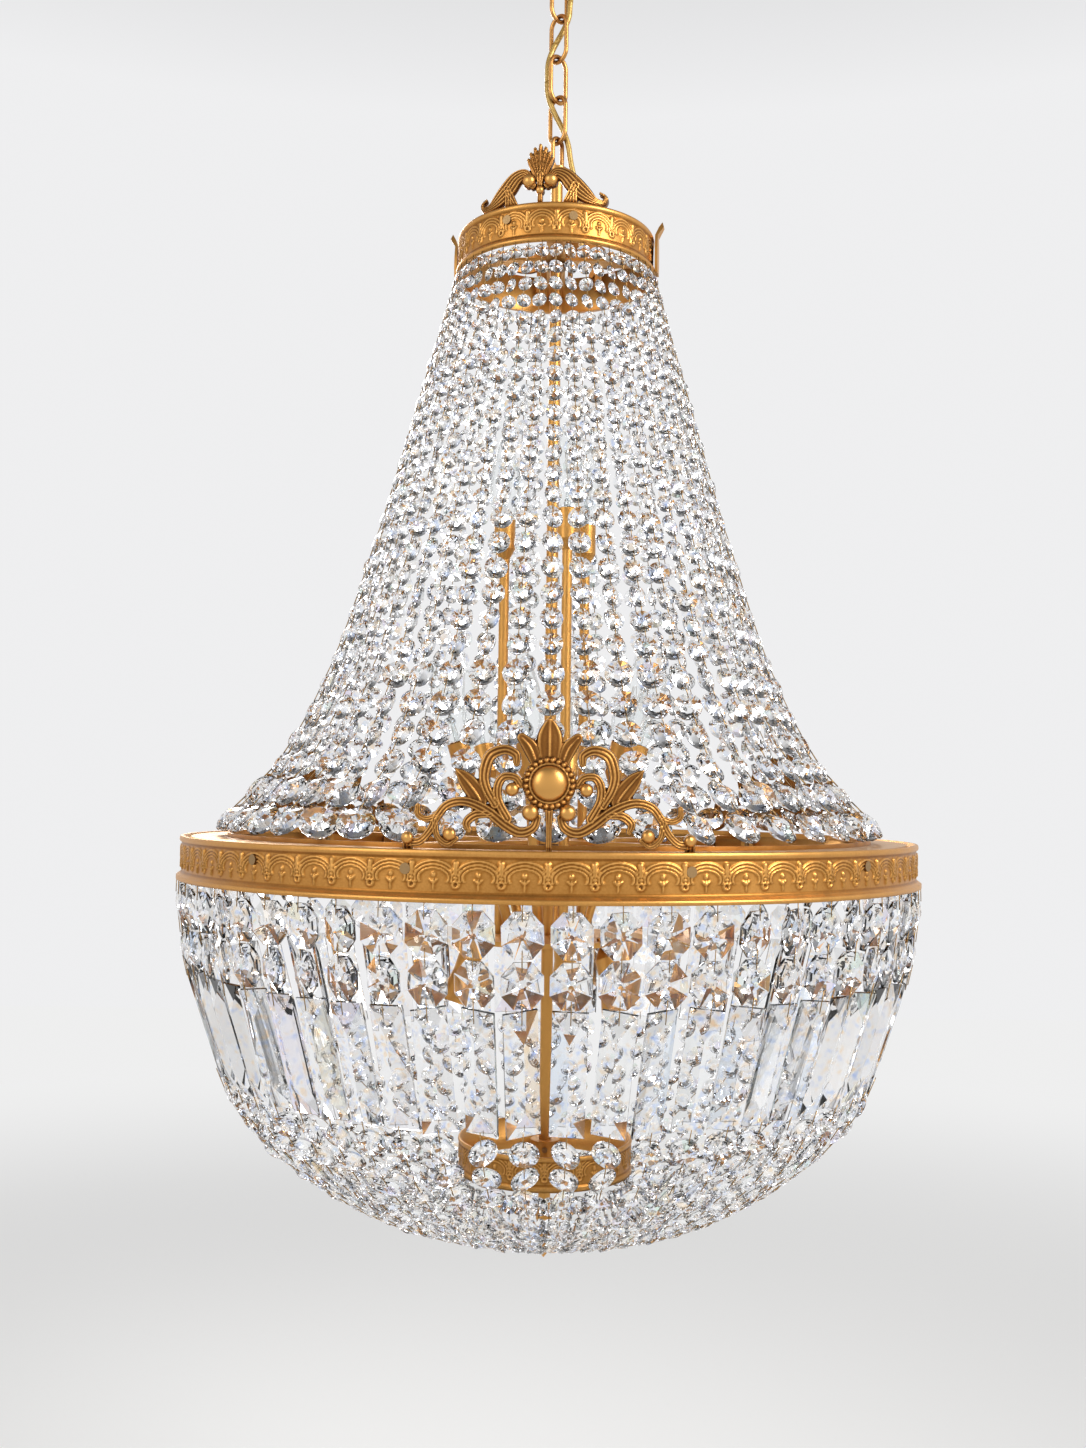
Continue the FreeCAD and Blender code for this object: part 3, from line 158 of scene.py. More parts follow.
def node_material(name):
    """A new material with its shader, and a function that adds nodes."""
    material = bpy.data.materials.new(name)
    material.use_nodes = True
    tree = material.node_tree
    return material, tree.nodes["Principled BSDF"], node_adder(tree)


def floor_sheet(level, reach):
    """The studio's floor, one flat sheet of pale paper that keeps the object's shadow. Where it is seen,
    mirrored or looked at through glass, it runs into the backdrop's tone between 0.9 and 4.6 m away."""
    mesh = bpy.data.meshes.new("floor")
    span = reach * MM
    mesh.from_pydata([(x * span, y * span, level * MM) for x, y in ((-1, -1), (1, -1), (1, 1), (-1, 1))], [],
                     [(0, 1, 2, 3)])
    paper, shader, add = node_material("floor_paper")
    flat = add("VectorMath", {0: add("TexCoord", {}).outputs["Object"], 1: (1, 1, 0)}, operation="MULTIPLY")
    away = add("VectorMath", {0: flat.outputs[0]}, operation="LENGTH")
    far = add("MapRange", {"Value": away.outputs["Value"], "From Min": 0.9, "From Max": 4.6},
              interpolation_type="SMOOTHSTEP")
    tone = add("Mix", {0: far.outputs[0], 6: (0.80, 0.795, 0.785, 1), 7: (0, 0, 0, 1)}, data_type="RGBA")
    glow = add("MapRange", {"Value": far.outputs[0], "To Min": 0.12, "To Max": 0.86})
    shine = add("Math", {0: seen_share(add), 1: glow.outputs[0]}, operation="MULTIPLY")
    fill(shader, {"Base Color": tone.outputs[2], "Roughness": 0.9, "Specular IOR Level": 0,
                  "Emission Color": (1, 1, 1, 1), "Emission Strength": shine.outputs[0]})
    mesh.materials.append(paper)
    obj = bpy.data.objects.new("floor", mesh)
    bpy.context.scene.collection.objects.link(obj)


camera()
surround(lighting=0.5)
lamp("key", (1600, -1300, 350), (0, 0, -700), width=900, height=1200, watts=42)
lamp("fill", (-1600, -1400, 100), (0, 0, -750), width=900, height=1400, watts=13)
lamp("rim", (-600, 1700, 300), (0, 0, -700), width=900, height=900, watts=26)
floor_sheet(level=-1900, reach=6000)
bpy.context.scene.view_settings.view_transform = "Standard"


# ---------------------------------------------------------------- Supply cable
# One round two-core cable with a gold-coloured sheath. It leaves the canopy, threads through two chain links
# and ends in the gland on the crown's cross bar. Each span runs across one joint of the chain.

CABLE_DIAMETER = 4.8
CABLE_ROUTE = np.array([
    (19, 0, -43.6), (19, 0, -56), (11.5, 0.5, -76), (9.2, 0, -94), (8.8, 0.3, -109), (-8.8, -0.3, -141),
    (-9.6, 0, -160), (-8.9, 0.2, -180.5), (8.9, -0.2, -213.5), (11.5, 0.5, -236), (18, 1.2, -258),
    (22, 0, -276), (22, 0, -314.8),
])
# The heights between which each span ends, its two bodies, and the heights between which it bends.
CABLE_SPANS = (
    (0, -91.6, "ceiling", "link_1", -60, -87), (-91.6, -127.5, "link_1", "link_2", -96, -123),
    (-127.5, -163.6, "link_2", "link_3", -132, -159), (-163.6, -400, "link_3", "chandelier", -168, -195),
)


def finish_mesh(name, points, groups, material, body, smooth=True):
    """One mesh object from points in millimetres and arrays of faces, each array with its own number of
    corners. It rides on a body, where it has one, and takes a material slot's finish."""
    loops = np.concatenate([g.ravel() for g in groups]).astype(np.int32)
    corners = np.concatenate([np.full(len(g), g.shape[1]) for g in groups])
    mesh = bpy.data.meshes.new(name)
    mesh.vertices.add(len(points))
    mesh.vertices.foreach_set("co", (np.asarray(points) * MM).astype(np.float32).ravel())
    mesh.loops.add(len(loops))
    mesh.loops.foreach_set("vertex_index", loops)
    mesh.polygons.add(len(corners))
    mesh.polygons.foreach_set("loop_start", np.concatenate([[0], np.cumsum(corners)[:-1]]).astype(np.int32))
    mesh.update(calc_edges=True)
    mesh.polygons.foreach_set("use_smooth", np.full(len(corners), smooth))
    mesh.materials.append(material)
    obj = bpy.data.objects.new(name, mesh)
    bpy.context.scene.collection.objects.link(obj)
    if body:
        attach(obj, body)
    return obj


def wrapped_quads(rows, columns):
    """Quads of a grid whose columns close on themselves, row by row."""
    i, j = np.meshgrid(np.arange(rows - 1), np.arange(columns), indexing="ij")
    k = (j + 1) % columns
    return np.stack([i * columns + j, i * columns + k, (i + 1) * columns + k, (i + 1) * columns + j],
                    -1).reshape(-1, 4)


def spline_points(route):
    """Points along a smooth quadratic spline that has the route as its control points."""
    curve = bpy.data.curves.new("route", "CURVE")
    curve.dimensions = "3D"
    spline = curve.splines.new("NURBS")
    spline.points.add(len(route) - 1)
    spline.points.foreach_set("co", np.column_stack([route, np.ones(len(route))]).ravel())
    spline.order_u = 3
    spline.use_endpoint_u = True
    spline.resolution_u = 12
    obj = bpy.data.objects.new("route", curve)
    line = bpy.data.meshes.new_from_object(obj)
    points = np.array([v.co[:] for v in line.vertices])
    bpy.data.meshes.remove(line)
    bpy.data.objects.remove(obj)
    bpy.data.curves.remove(curve)
    return points


def swept_tube(path, radius, sides):
    """A ring of points around every point of a path, square to it, with both ends closed by a fan."""
    ahead = unit(np.gradient(path, axis=0))
    side = unit(np.cross(ahead, (0, 1, 0)))
    over = np.cross(side, ahead)
    turn = np.linspace(0, 2 * np.pi, sides, endpoint=False)
    ring = np.cos(turn)[None, :, None] * side[:, None, :] + np.sin(turn)[None, :, None] * over[:, None, :]
    points = (path[:, None, :] + radius * ring).reshape(-1, 3)
    last = len(points)
    points = np.vstack([points, path[0], path[-1]])
    j = np.arange(sides)
    k = (j + 1) % sides
    start = np.stack([k, j, np.full(sides, last)], -1)
    end = np.stack([j + last - sides, k + last - sides, np.full(sides, last + 1)], -1)
    return points, [wrapped_quads(len(path), sides), start, end]


def noise(add, scale, detail):
    """Soft noise that is fixed to the object: its scale is the number of its clouds in a metre."""
    place = add("TexCoord", {}).outputs["Object"]
    return add("TexNoise", {"Vector": place, "Scale": scale, "Detail": detail}).outputs["Fac"]


def sheath_material():
    """Gold-coloured plastic with fine mottling and a faint grain."""
    material, shader, add = node_material("cable_sheath")
    grain = noise(add, 900, 3)
    tone = add("ValToRGB", {"Fac": grain})
    ramp(tone, (0.35, (0.42, 0.24, 0.05)), (0.65, (0.70, 0.47, 0.13)))
    bump = add("Bump", {"Height": grain, "Strength": 0.15, "Distance": 0.0003})
    fill(shader, {"Base Color": tone.outputs["Color"], "Normal": bump.outputs["Normal"], "Roughness": 0.35,
                  "Metallic": 0.35})
    return material


def cable():
    """Spans of the cable, cut from one path so that neighbours share their end."""
    sheath = sheath_material()
    route = spline_points(CABLE_ROUTE)
    for i, (top, low, above, below, bend_top, bend_end) in enumerate(CABLE_SPANS, start=1):
        first, last = np.searchsorted(-route[:, 2], (-top, -low))
        path = route[first:last + 1]
        points, groups = swept_tube(path, CABLE_DIAMETER / 2, 16)
        piece = finish_mesh(f"supply_cable_{i}", points, groups, sheath, None)
        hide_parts("supply_cable")
        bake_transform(piece)


cable()


# ---------------------------------------------------------------- Ceiling fitting, chain and stem
# Canopy and fittings of spun and drawn brass, aged and lacquered. The links are bent from round bronze wire,
# and the stem is a drawn brass tube.


def shaded_aged_gold(name, dark, middle, bright, roughness, attribute=None):
    """Lacquered aged brass: patina in clouds, painted shade in hollows and a painted highlight where it
    stands out.
    The painted shade and highlight follow a relief attribute, from 0 in a hollow to 1 on a crest, where the
    piece has one, and ambient occlusion otherwise."""
    material, shader, add = node_material(name)
    cloud, speck = noise(add, 55, 4), noise(add, 700, 2)
    level = add("Math", {0: cloud, 1: speck}, operation="ADD")
    # Painted shade and highlight: the relief attribute, or else ambient occlusion, darkens hollows and
    # lightens crests.
    if attribute:
        relief = add("Attribute", {}, attribute_name=attribute).outputs["Fac"]
    else:
        relief = add("AmbientOcclusion", {"Distance": 0.006}, samples=4).outputs["AO"]
    spread = add("Math", {0: level.outputs[0], 1: 0.22}, operation="MULTIPLY")
    lifted = add("Math", {0: relief, 1: 0.78, 2: spread.outputs[0]}, operation="MULTIPLY_ADD")
    tone = add("ValToRGB", {"Fac": lifted.outputs[0]})
    ramp(tone, (0.12, dark), (0.55, middle), (0.95, bright))
    rough = add("Math", {0: cloud, 1: 0.2, 2: roughness - 0.1}, operation="MULTIPLY_ADD")
    bump = add("Bump", {"Height": speck, "Strength": 0.12, "Distance": 0.0004})
    fill(shader, {"Base Color": tone.outputs["Color"], "Roughness": rough.outputs[0],
                  "Normal": bump.outputs["Normal"], "Metallic": 0.85})
    return material


def dress(material, *nodes):
    """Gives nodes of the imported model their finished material."""
    for node in nodes:
        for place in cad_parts[node].material_slots:
            place.material = material


def moulded(name, dark, light):
    """Moulded insulating plastic with a faint cloudiness."""
    material, shader, add = node_material(name)
    tone = add("ValToRGB", {"Fac": noise(add, 300, 2)})
    ramp(tone, (0.3, dark), (0.7, light))
    fill(shader, {"Base Color": tone.outputs["Color"], "Roughness": 0.5})
    return material


# Each metal below has painted shade in its hollows, from ambient occlusion, and a painted highlight where it
# stands out.
gold = shaded_aged_gold("shaded_aged_gold", (0.06, 0.020, 0.004), (0.36, 0.148, 0.028), (0.60, 0.30, 0.075), 0.36)
bronze = shaded_aged_gold("bronze_wire", (0.05, 0.018, 0.006), (0.32, 0.135, 0.035), (0.58, 0.29, 0.085), 0.30)
steel = shaded_aged_gold("fixing_metal", (0.03, 0.016, 0.007), (0.15, 0.085, 0.035), (0.32, 0.20, 0.09), 0.42)
plastic = moulded("insulator", (0.58, 0.55, 0.48), (0.72, 0.69, 0.62))
dress(gold, "canopy", "cable_outlet", "stem", "cable_gland")
dress(bronze, "canopy_loop", "stem_eye", *[f"chain_link_{i}" for i in (1, 2, 3, 4)])
dress(steel, "ceiling_strap", "canopy_nipple", "stem_nuts", "ring_screws", "set_screw")
dress(plastic, "terminal_block", "lampholders")


# ---------------------------------------------------------------- Stamped rings
# The crown and the large ring are strips of stamped brass: a rolled rim above, a panel with a row of arches,
# and a plain stepped flange below. A fleur stands on a small round eye where two arches meet, with a sprout
# under each arch.


def ridge(distance, width):
    """A rounded ridge across a line: a squared cosine of the distance, down to nothing at its width."""
    return np.cos(np.clip(distance / width, -1, 1) * np.pi / 2) ** 2


def to_run(u, v, a, b):
    """Distance from a point to a straight run."""
    (x0, z0), (x1, z1) = a, b
    dx, dz = x1 - x0, z1 - z0
    t = np.clip(((u - x0) * dx + (v - z0) * dz) / (dx * dx + dz * dz), 0, 1)
    return np.hypot(u - x0 - t * dx, v - z0 - t * dz)


def arcade(u, v, pitch):
    """Height of the stamped pattern at u along one arch, from -0.5 to 0.5 pitches, and v above the panel's
    foot: concentric half ellipses, a fleur of three petals and an eye at the joint, and a sprout between."""
    half = pitch / 2
    x = u * pitch
    joint = np.minimum(np.abs(x - half), np.abs(x + half))
    height = np.zeros_like(x)
    for step, width in ((0, 1.15), (2.3, 1.0), (4.5, 0.9)):
        rise = np.clip(v - 9.5, -4, None)
        oval = np.hypot(x / (half - step), rise / (10.6 - step))
        line = np.abs(oval - 1) * (half - step) * 0.86
        height = np.maximum(height, ridge(line, width) * (rise > -3))
    petal = to_run(joint, v, (0, 12.2), (0, 18.6)) - 0.5
    height = np.maximum(height, 1.25 * ridge(petal, 2.1))
    side = to_run(joint, v, (0.9, 9.4), (3.1, 14.2))
    height = np.maximum(height, 1.1 * ridge(side, 1.0))
    eye = np.abs(np.hypot(joint, v - 5.2) - 2.0)
    height = np.maximum(height, 1.15 * ridge(eye, 1.15))
    bud = np.hypot(x, (v - 11.4) * 0.85)
    height = np.maximum(height, 1.15 * ridge(bud, 2.0))
    height = np.maximum(height, ridge(to_run(np.abs(x), v, (0.2, 6.2), (2.2, 8.3)), 1.0))
    height = np.maximum(height, ridge(to_run(x, v, (0, 2.4), (0, 8.5)), 0.9))
    return height


def hollows(height, reach):
    """From 0 in a narrow hollow to 1 on a crest: the height against its own average around each point."""
    blurred = height.copy()
    for _ in range(reach):
        blurred = (blurred + np.roll(blurred, 1, 1) + np.roll(blurred, -1, 1)) / 3
        blurred[1:-1] = (blurred[2:] + blurred[1:-1] + blurred[:-2]) / 3
    return np.clip(0.62 + (height - blurred) * 1.1, 0, 1)


def paint_shading(piece, values):
    """Stores a painted shading level from 0 to 1 at each point, 0 for painted shade and 1 for a painted
    highlight, for the material to read.
    """
    layer = piece.data.attributes.new("relief", "FLOAT", "POINT")
    layer.data.foreach_set("value", np.asarray(values, np.float32).ravel())


def revolved(radius, level, turn):
    """Points of a grid at a radius and a level, turned about the stem from the front towards the right."""
    x, y = radius * np.sin(turn), -radius * np.cos(turn)
    return np.stack([x, y, np.broadcast_to(level, radius.shape)], -1).reshape(-1, 3)


def stamped_ring(name, node, wall, rim, flange, arches, steps, depth, rows):
    """A ring worked out on a grid of turn and outline: the outline runs up the outside, over the rim and down
    the inside, and the stamped pattern adds to the radius of the panel, which has a number of rows."""
    low, high = (np.array(c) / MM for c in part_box(node))
    radius, height = high[0] - flange, high[2] - low[2]
    foot, head = 0.19 * height, 0.85 * height
    panel = np.linspace(foot + 0.4, head - 0.4, rows)
    below = [(radius - wall, 0), (radius + flange, 0), (radius + flange, 0.085 * height),
             (radius + flange * 0.6, 0.105 * height), (radius, 0.14 * height),
             (radius - rim * 0.8, 0.175 * height)]
    above = [(radius - rim * 0.7, 0.865 * height), (radius, 0.89 * height), (radius + 0.25, 0.93 * height),
             (radius, 0.975 * height), (radius - 0.5, height), (radius - wall, height), (radius - wall, 0)]
    outline = np.array(below + [(radius - rim, z) for z in panel] + above)
    first, after = len(below), len(below) + rows
    columns = arches * steps
    turn = np.linspace(0, 2 * np.pi, columns, endpoint=False)
    u = (turn * arches / (2 * np.pi)) % 1 - 0.5
    stamped = np.zeros((len(outline), columns))
    pitch = 2 * np.pi * radius / arches
    stamped[first:after] = arcade(*np.broadcast_arrays(u, (panel - foot)[:, None]), pitch)
    points = revolved(outline[:, :1] + stamped * depth, outline[:, 1:] + low[2], turn)
    piece = finish_mesh(name, points, [wrapped_quads(len(outline), columns)], stamped_gold, "chandelier")
    # Painted shading: plain metal beside the panel is evenly bright, the panel's two edges get painted shade,
    # and in the panel painted shade lies in the hollows and a painted highlight on the raised lines.
    painted_shading = hollows(stamped, 3)
    painted_shading[:first] = painted_shading[after:] = 0.78
    painted_shading[[first - 1, first, after - 1, after]] *= 0.5
    paint_shading(piece, painted_shading)
    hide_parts(node)


stamped_gold = shaded_aged_gold("stamped_gold", (0.05, 0.016, 0.003), (0.38, 0.155, 0.026), (0.72, 0.37, 0.10), 0.38,
                         "relief")
stamped_ring("crown_ring", "crown_band", wall=2.4, rim=1.6, flange=1.6, arches=22, steps=30, depth=1.15,
             rows=30)
stamped_ring("large_ring", "main_band", wall=3, rim=1.5, flange=2.5, arches=64, steps=34, depth=1.25, rows=30)
dress(gold, "crown_spider", "main_shelf", "main_spider", "lamp_plate")


# ---------------------------------------------------------------- Crests
# Cast brass openwork, screwed inside the rings: scrolls with raised edges, ball volutes, leaves with a rib,
# and on the large crests a round boss in a circle of beads.

BIG_SCROLL = [(20.8, 55, 2.2), (21.5, 60.5, 3), (28.5, 63.6, 3.4), (37.5, 59.5, 3.8), (41.2, 48, 3.6),
              (39.5, 38.5, 3.2), (34, 29, 3)]
SMALL_SCROLL = [(18, 41.5, 2.4), (21.5, 46, 2.6), (28.5, 46.5, 2.8), (32.5, 40.5, 3), (32, 31, 3),
                (26, 20, 3)]
LONG_SCROLL = [(7.4, 21, 2.6), (10, 14.5, 3), (18, 11.6, 3.4), (27, 15.8, 3.6), (40, 25.5, 3.4),
               (53, 30.6, 3.2), (64, 28.6, 3), (70.5, 21.5, 2.8), (75.5, 12, 2.6), (82, 5.2, 2.6),
               (89, 4.2, 2.8)]
END_CURL = [(71, 21.5, 2), (78, 19.2, 2.2), (83.4, 22, 2.2), (83.6, 27.4, 1.8)]
INNER_CURL = [(72.5, 19, 2), (71, 9, 2.2), (64.5, 3.6, 2.2), (58.6, 7.2, 1.8)]
HANGING_LEAF = [(37, 22.5, 2), (46, 22.4, 3), (52, 17.4, 2.8), (50.4, 12, 1.6)]
SIDE_LOBE = [(8.5, 55.5, 3.6), (12.4, 65, 4.8), (17.6, 71.2, 3.2)]
TOP_LEAF = [(0, 54, 5), (0, 62, 7.6), (0, 70, 8.4), (0, 77, 5.4), (0, 84, 0.4)]
SIDE_LEAF = [(43, 31, 4), (47, 37, 6), (53, 44.5, 5), (59.5, 51.5, 0.5)]
POST = [(0, -1, 2), (0, 14, 2), (0, 28, 3)]
MAIN_BALLS = [(23.4, 38.5, 4.4), (11.8, 24.2, 5.4), (62.9, 9.9, 4.4), (90.2, 7.2, 4.2)]
BOSS, BOSS_DOME = (0, 42.6, 17), 11.3
BEADS, BEAD_RING, BEAD_RADIUS = 24, 14.7, 1.6
MAIN_TAB = [(90.2, -19, 4), (90.2, -9.5, 4), (90.2, 6, 3)]

CROWN_WING = [(6, 15, 3), (12, 24.6, 4.2), (20, 23, 6.2), (27, 16, 7.6), (34.5, 9.5, 6.6), (42, 4.8, 3.6),
              (49, 4.4, 2.2), (51, 9.2, 1.7), (47.2, 11.4, 1.3)]
CROWN_FOOT = [(28, 15, 3.6), (24, 7, 3), (20, -1, 2.4)]
CROWN_FAN = ([(0, 22, 1.6), (0, 36, 2.1), (0, 47.3, 1.5)], [(1.2, 22, 1.5), (2.9, 35, 2.1), (4.3, 44.8, 1.5)],
             [(2, 21.5, 1.4), (5.4, 33, 2.1), (7.7, 41, 1.5)],
             [(2.6, 20.5, 1.4), (7, 30, 1.9), (9.8, 36.3, 1.4)])
CROWN_POST = [(0, -1, 2.2), (0, 9, 2), (0, 24, 3)]
CROWN_BALLS = [(9, 18.6, 5.4), (0, 10.6, 3.4)]
CROWN_TAB = [(26.6, -16, 3.4), (26.6, -8, 3.4), (26.6, 12, 3)]
# How far the crests' faces on the tabs, and their backs, stand inside the rings' radius.
CREST_FACE, CREST_BACK = 2.6, 4.6


def eased(points, steps=8):
    """More points on a smooth curve through the given ones: each span is a cubic whose ends lean along the
    neighbouring points."""
    p = np.array(points, float)
    lean = np.gradient(p, axis=0)
    t = np.linspace(0, 1, steps, endpoint=False)[None, :, None]
    a, b, m, n = p[:-1, None], p[1:, None], lean[:-1, None], lean[1:, None]
    curve = ((2 * t ** 3 - 3 * t ** 2 + 1) * a + (t ** 3 - 2 * t ** 2 + t) * m + (3 * t ** 2 - 2 * t ** 3) * b
             + (t ** 3 - t ** 2) * n)
    return np.vstack([curve.reshape(-1, 3), p[-1:]])


def along_stroke(x, z, points):
    """Distance outside a stroke's edge, and how far across its half width each point lies."""
    line = eased(points)
    edge, across = np.full(x.shape, 1e3), np.full(x.shape, 9.0)
    for (x0, z0, w0), (x1, z1, w1) in zip(line, line[1:]):
        dx, dz = x1 - x0, z1 - z0
        t = np.clip(((x - x0) * dx + (z - z0) * dz) / (dx * dx + dz * dz), 0, 1)
        away = np.hypot(x - x0 - t * dx, z - z0 - t * dz)
        half = w0 + t * (w1 - w0)
        edge = np.minimum(edge, away - half)
        across = np.minimum(across, away / half)
    return edge, across


def scroll_height(q):
    """A scroll's section: a low round bar with a dished middle between two raised edges."""
    q = np.clip(q, 0, 1)
    return 2.2 * np.sqrt(1 - q ** 4) + 0.9 * ridge(q - 0.72, 0.22) - 0.5 * ridge(q - 0.38, 0.25) \
        + 0.5 * ridge(q, 0.2)


def leaf_height(q):
    """A leaf's section: rising to its middle, with a rib there and a raised hem."""
    q = np.clip(q, 0, 1)
    return 1.6 * np.sqrt(1 - q ** 3) + 0.8 * ridge(q - 0.8, 0.2) + 1.4 * ridge(q, 0.16)


def wing_height(q):
    """A feathered wing's section: rounded, with five fine ribs."""
    q = np.clip(q, 0, 1)
    return 2.0 * np.sqrt(1 - q ** 3) + 0.55 * np.cos(5 * np.pi * q)


def half_ball(away, radius):
    """Height of a half ball, one high: the root of one less the squared distance over its squared radius."""
    return np.sqrt(np.clip(1 - (away / radius) ** 2, 0, 1))


def boss_relief(x, z, boss):
    """Distance outside a boss's disc, and its height: a plate, a dome with a raised hem, and a circle of
    beads, each a half ball on its own step of the angle."""
    bx, bz, disc = boss
    plate = 1.6
    away, angle = np.hypot(x - bx, z - bz), np.arctan2(z - bz, x - bx)
    height = plate + 1.5 * ridge(away - BOSS_DOME - 1, 1.0) + 6.2 * half_ball(away, BOSS_DOME)
    step = (angle * BEADS / (2 * np.pi)) % 1 - 0.5
    span = np.hypot(step * 2 * np.pi * BEAD_RING / BEADS, away - BEAD_RING)
    bead = np.where(span < BEAD_RADIUS, plate + 2.4 * half_ball(span, BEAD_RADIUS), 0)
    return away - disc, np.maximum(height, bead)


def crest_relief(x, z, spec):
    """Distance outside the crest's outline, which is the least one from any stroke, ball or boss, and the
    height of the tallest section there. A ball rises 0.95 of its radius from a low rim."""
    mirror = np.abs(x)
    edge, height = np.full(x.shape, 1e3), np.zeros(x.shape)
    for section, strokes in ((scroll_height, "scrolls"), (leaf_height, "leaves"), (wing_height, "wings")):
        for points in spec[strokes]:
            near, across = along_stroke(mirror, z, points)
            height = np.where(near < 0, np.maximum(height, section(across)), height)
            edge = np.minimum(edge, near)
    for bx, bz, ball in spec["balls"]:
        away = np.hypot(mirror - bx, z - bz)
        edge = np.minimum(edge, away - ball)
        height = np.where(away < ball, np.maximum(height, 1.2 + ball * 0.95 * half_ball(away, ball)), height)
    if "boss" in spec:
        near, dish = boss_relief(x, z, spec["boss"])
        edge = np.minimum(edge, near)
        height = np.where(near < 0, dish, height)
    return edge, height


def slab_faces(inside):
    """Front, back and walls of a slab on a grid. A cell belongs to it where any of its corners lies inside,
    and the back's points are numbered after the front's."""
    cell = inside[:-1, :-1] | inside[1:, :-1] | inside[:-1, 1:] | inside[1:, 1:]
    number = np.arange(inside.size).reshape(inside.shape)
    a, b = number[:-1, :-1], number[:-1, 1:]
    c, d = number[1:, 1:], number[1:, :-1]
    front = np.stack([a[cell], b[cell], c[cell], d[cell]], -1)
    faces = [front, front[:, ::-1] + inside.size]
    padded = np.pad(cell, 1)
    for beyond, p, q in ((padded[:-2, 1:-1], a, b), (padded[1:-1, 2:], b, c), (padded[2:, 1:-1], c, d),
                         (padded[1:-1, :-2], d, a)):
        wall = cell & ~beyond
        p, q = p[wall], q[wall]
        faces.append(np.stack([q, p, p + inside.size, q + inside.size], -1))
    return np.vstack(faces)


def crest_piece(name, node, spec, radius, half_width, top, foot, turn_deg, grid=0.62):
    """A crest on a flat grid of x and height: grid points just outside its outline move onto it, down the
    slope of their distance, and the front is lifted by its relief, except on the tabs. The whole is then
    curved with its ring, true from the front, and turned about the stem."""
    x, z = np.meshgrid(np.arange(-half_width, half_width + grid, grid),
                       np.arange(foot - grid, top + grid, grid))
    edge, height = crest_relief(x, z, spec)
    dz, dx = np.gradient(edge, grid)
    steep = np.maximum(dx * dx + dz * dz, 0.3)
    out = edge > 0
    px, pz = np.where(out, x - edge * dx / steep, x), np.where(out, z - edge * dz / steep, z)
    face = radius - CREST_FACE + np.clip(pz, 0, 1) * 1.2 + height * np.clip((pz + 0.5) / 3, 0, 1)
    shells = []
    for reach in (face, np.full(x.shape, radius - CREST_BACK)):
        y = -np.sqrt(np.maximum(reach ** 2 - px ** 2, 1))
        shells.append(np.stack([px, y, pz], -1).reshape(-1, 3))
    used, faces = np.unique(slab_faces(~out), return_inverse=True)
    cosine, sine = math.cos(math.radians(turn_deg)), math.sin(math.radians(turn_deg))
    spin = np.array([[cosine, sine, 0], [-sine, cosine, 0], [0, 0, 1]])
    points = np.vstack(shells)[used] @ spin + (0, 0, spec["level"])
    piece = finish_mesh(name, points, [faces.reshape(-1, 4)], crest_gold, "chandelier")
    # Painted shading: the higher the relief the lighter, with painted shade in hollows and a painted
    # highlight on crests, and the back painted darker as shade.
    painted_shading = np.clip(0.38 + (height - 1.2) * 0.13 + (hollows(height, 3) - 0.62) * 0.9, 0, 1)
    paint_shading(piece, np.concatenate([painted_shading.ravel(), np.full(x.size, 0.3)])[used])
    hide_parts(node)


crest_gold = shaded_aged_gold("crest_gold", (0.035, 0.011, 0.002), (0.27, 0.105, 0.020), (0.68, 0.35, 0.095), 0.34,
                       "relief")
ring_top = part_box("main_band")[1][2] / MM
crown_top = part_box("crown_band")[1][2] / MM
large_crest = {
    "scrolls": [BIG_SCROLL, SMALL_SCROLL, LONG_SCROLL, END_CURL, INNER_CURL, HANGING_LEAF, POST, MAIN_TAB],
    "leaves": [SIDE_LOBE, TOP_LEAF, SIDE_LEAF], "wings": [], "balls": MAIN_BALLS, "boss": BOSS,
    "level": ring_top,
}
small_crest = {
    "scrolls": [CROWN_FOOT, CROWN_POST, CROWN_TAB], "leaves": CROWN_FAN, "wings": [CROWN_WING],
    "balls": CROWN_BALLS, "level": crown_top,
}
for label, turn in (("front", 0), ("right", 128), ("left", -128)):
    crest_piece(f"large_crest_{label}", f"main_crest_{label}", large_crest, radius=297, half_width=96, top=86,
                foot=-19, turn_deg=turn)
for label, turn in (("front", -9.7), ("back", 170.3)):
    crest_piece(f"crown_crest_{label}_relief", f"crown_crest_{label}", small_crest, radius=81.6,
                half_width=54, top=49, foot=-16, turn_deg=turn, grid=0.5)
dress(gold, "crown_side_leaves")


# ---------------------------------------------------------------- Lamps
# Clear torpedo bulbs in gold covers, three on tall tubes, six on tubes that lean outwards and three small
# ones facing down in bells. Each bulb is a thin clear envelope with a glass stem and a looped filament.

# Each circle of lamps: its kind and number, the azimuth of its first lamp, the radius of its tubes' feet and
# their height from the plate, the tubes' length and lean, and the bulbs' radius, length and glass's start.
LAMPS = (("tall", 3, -103, 42, 0, 318, 0, 14, 70, 34.6), ("mid", 6, -73, 31, 0, 133, 17, 14, 70, 34.6),
         ("down", 3, -73, 62, -4, 1.48, 161, 7.6, 14, 29.6))


def clear_glass(name, tint, gloss):
    """Thin clear glass: seen straight through, and mirroring more towards its edges."""
    material, shader, add = node_material(name)
    bump = add("Bump", {"Height": noise(add, 60, 2), "Strength": 0.05, "Distance": 0.001})
    edge = add("LayerWeight", {"Blend": gloss, "Normal": bump.outputs["Normal"]})
    through = add("BsdfTransparent", {"Color": (*tint, 1)})
    mirror = add("BsdfGlossy", {"Roughness": 0.03, "Normal": bump.outputs["Normal"]})
    share = add("Math", {0: edge.outputs["Fresnel"], 1: 0.45}, operation="MULTIPLY")
    mixed = add("MixShader", {0: share.outputs[0], 1: through.outputs[0], 2: mirror.outputs[0]})
    nodes = material.node_tree.nodes
    fill(nodes["Material Output"], {"Surface": mixed.outputs[0]})
    nodes.remove(shader)
    return material


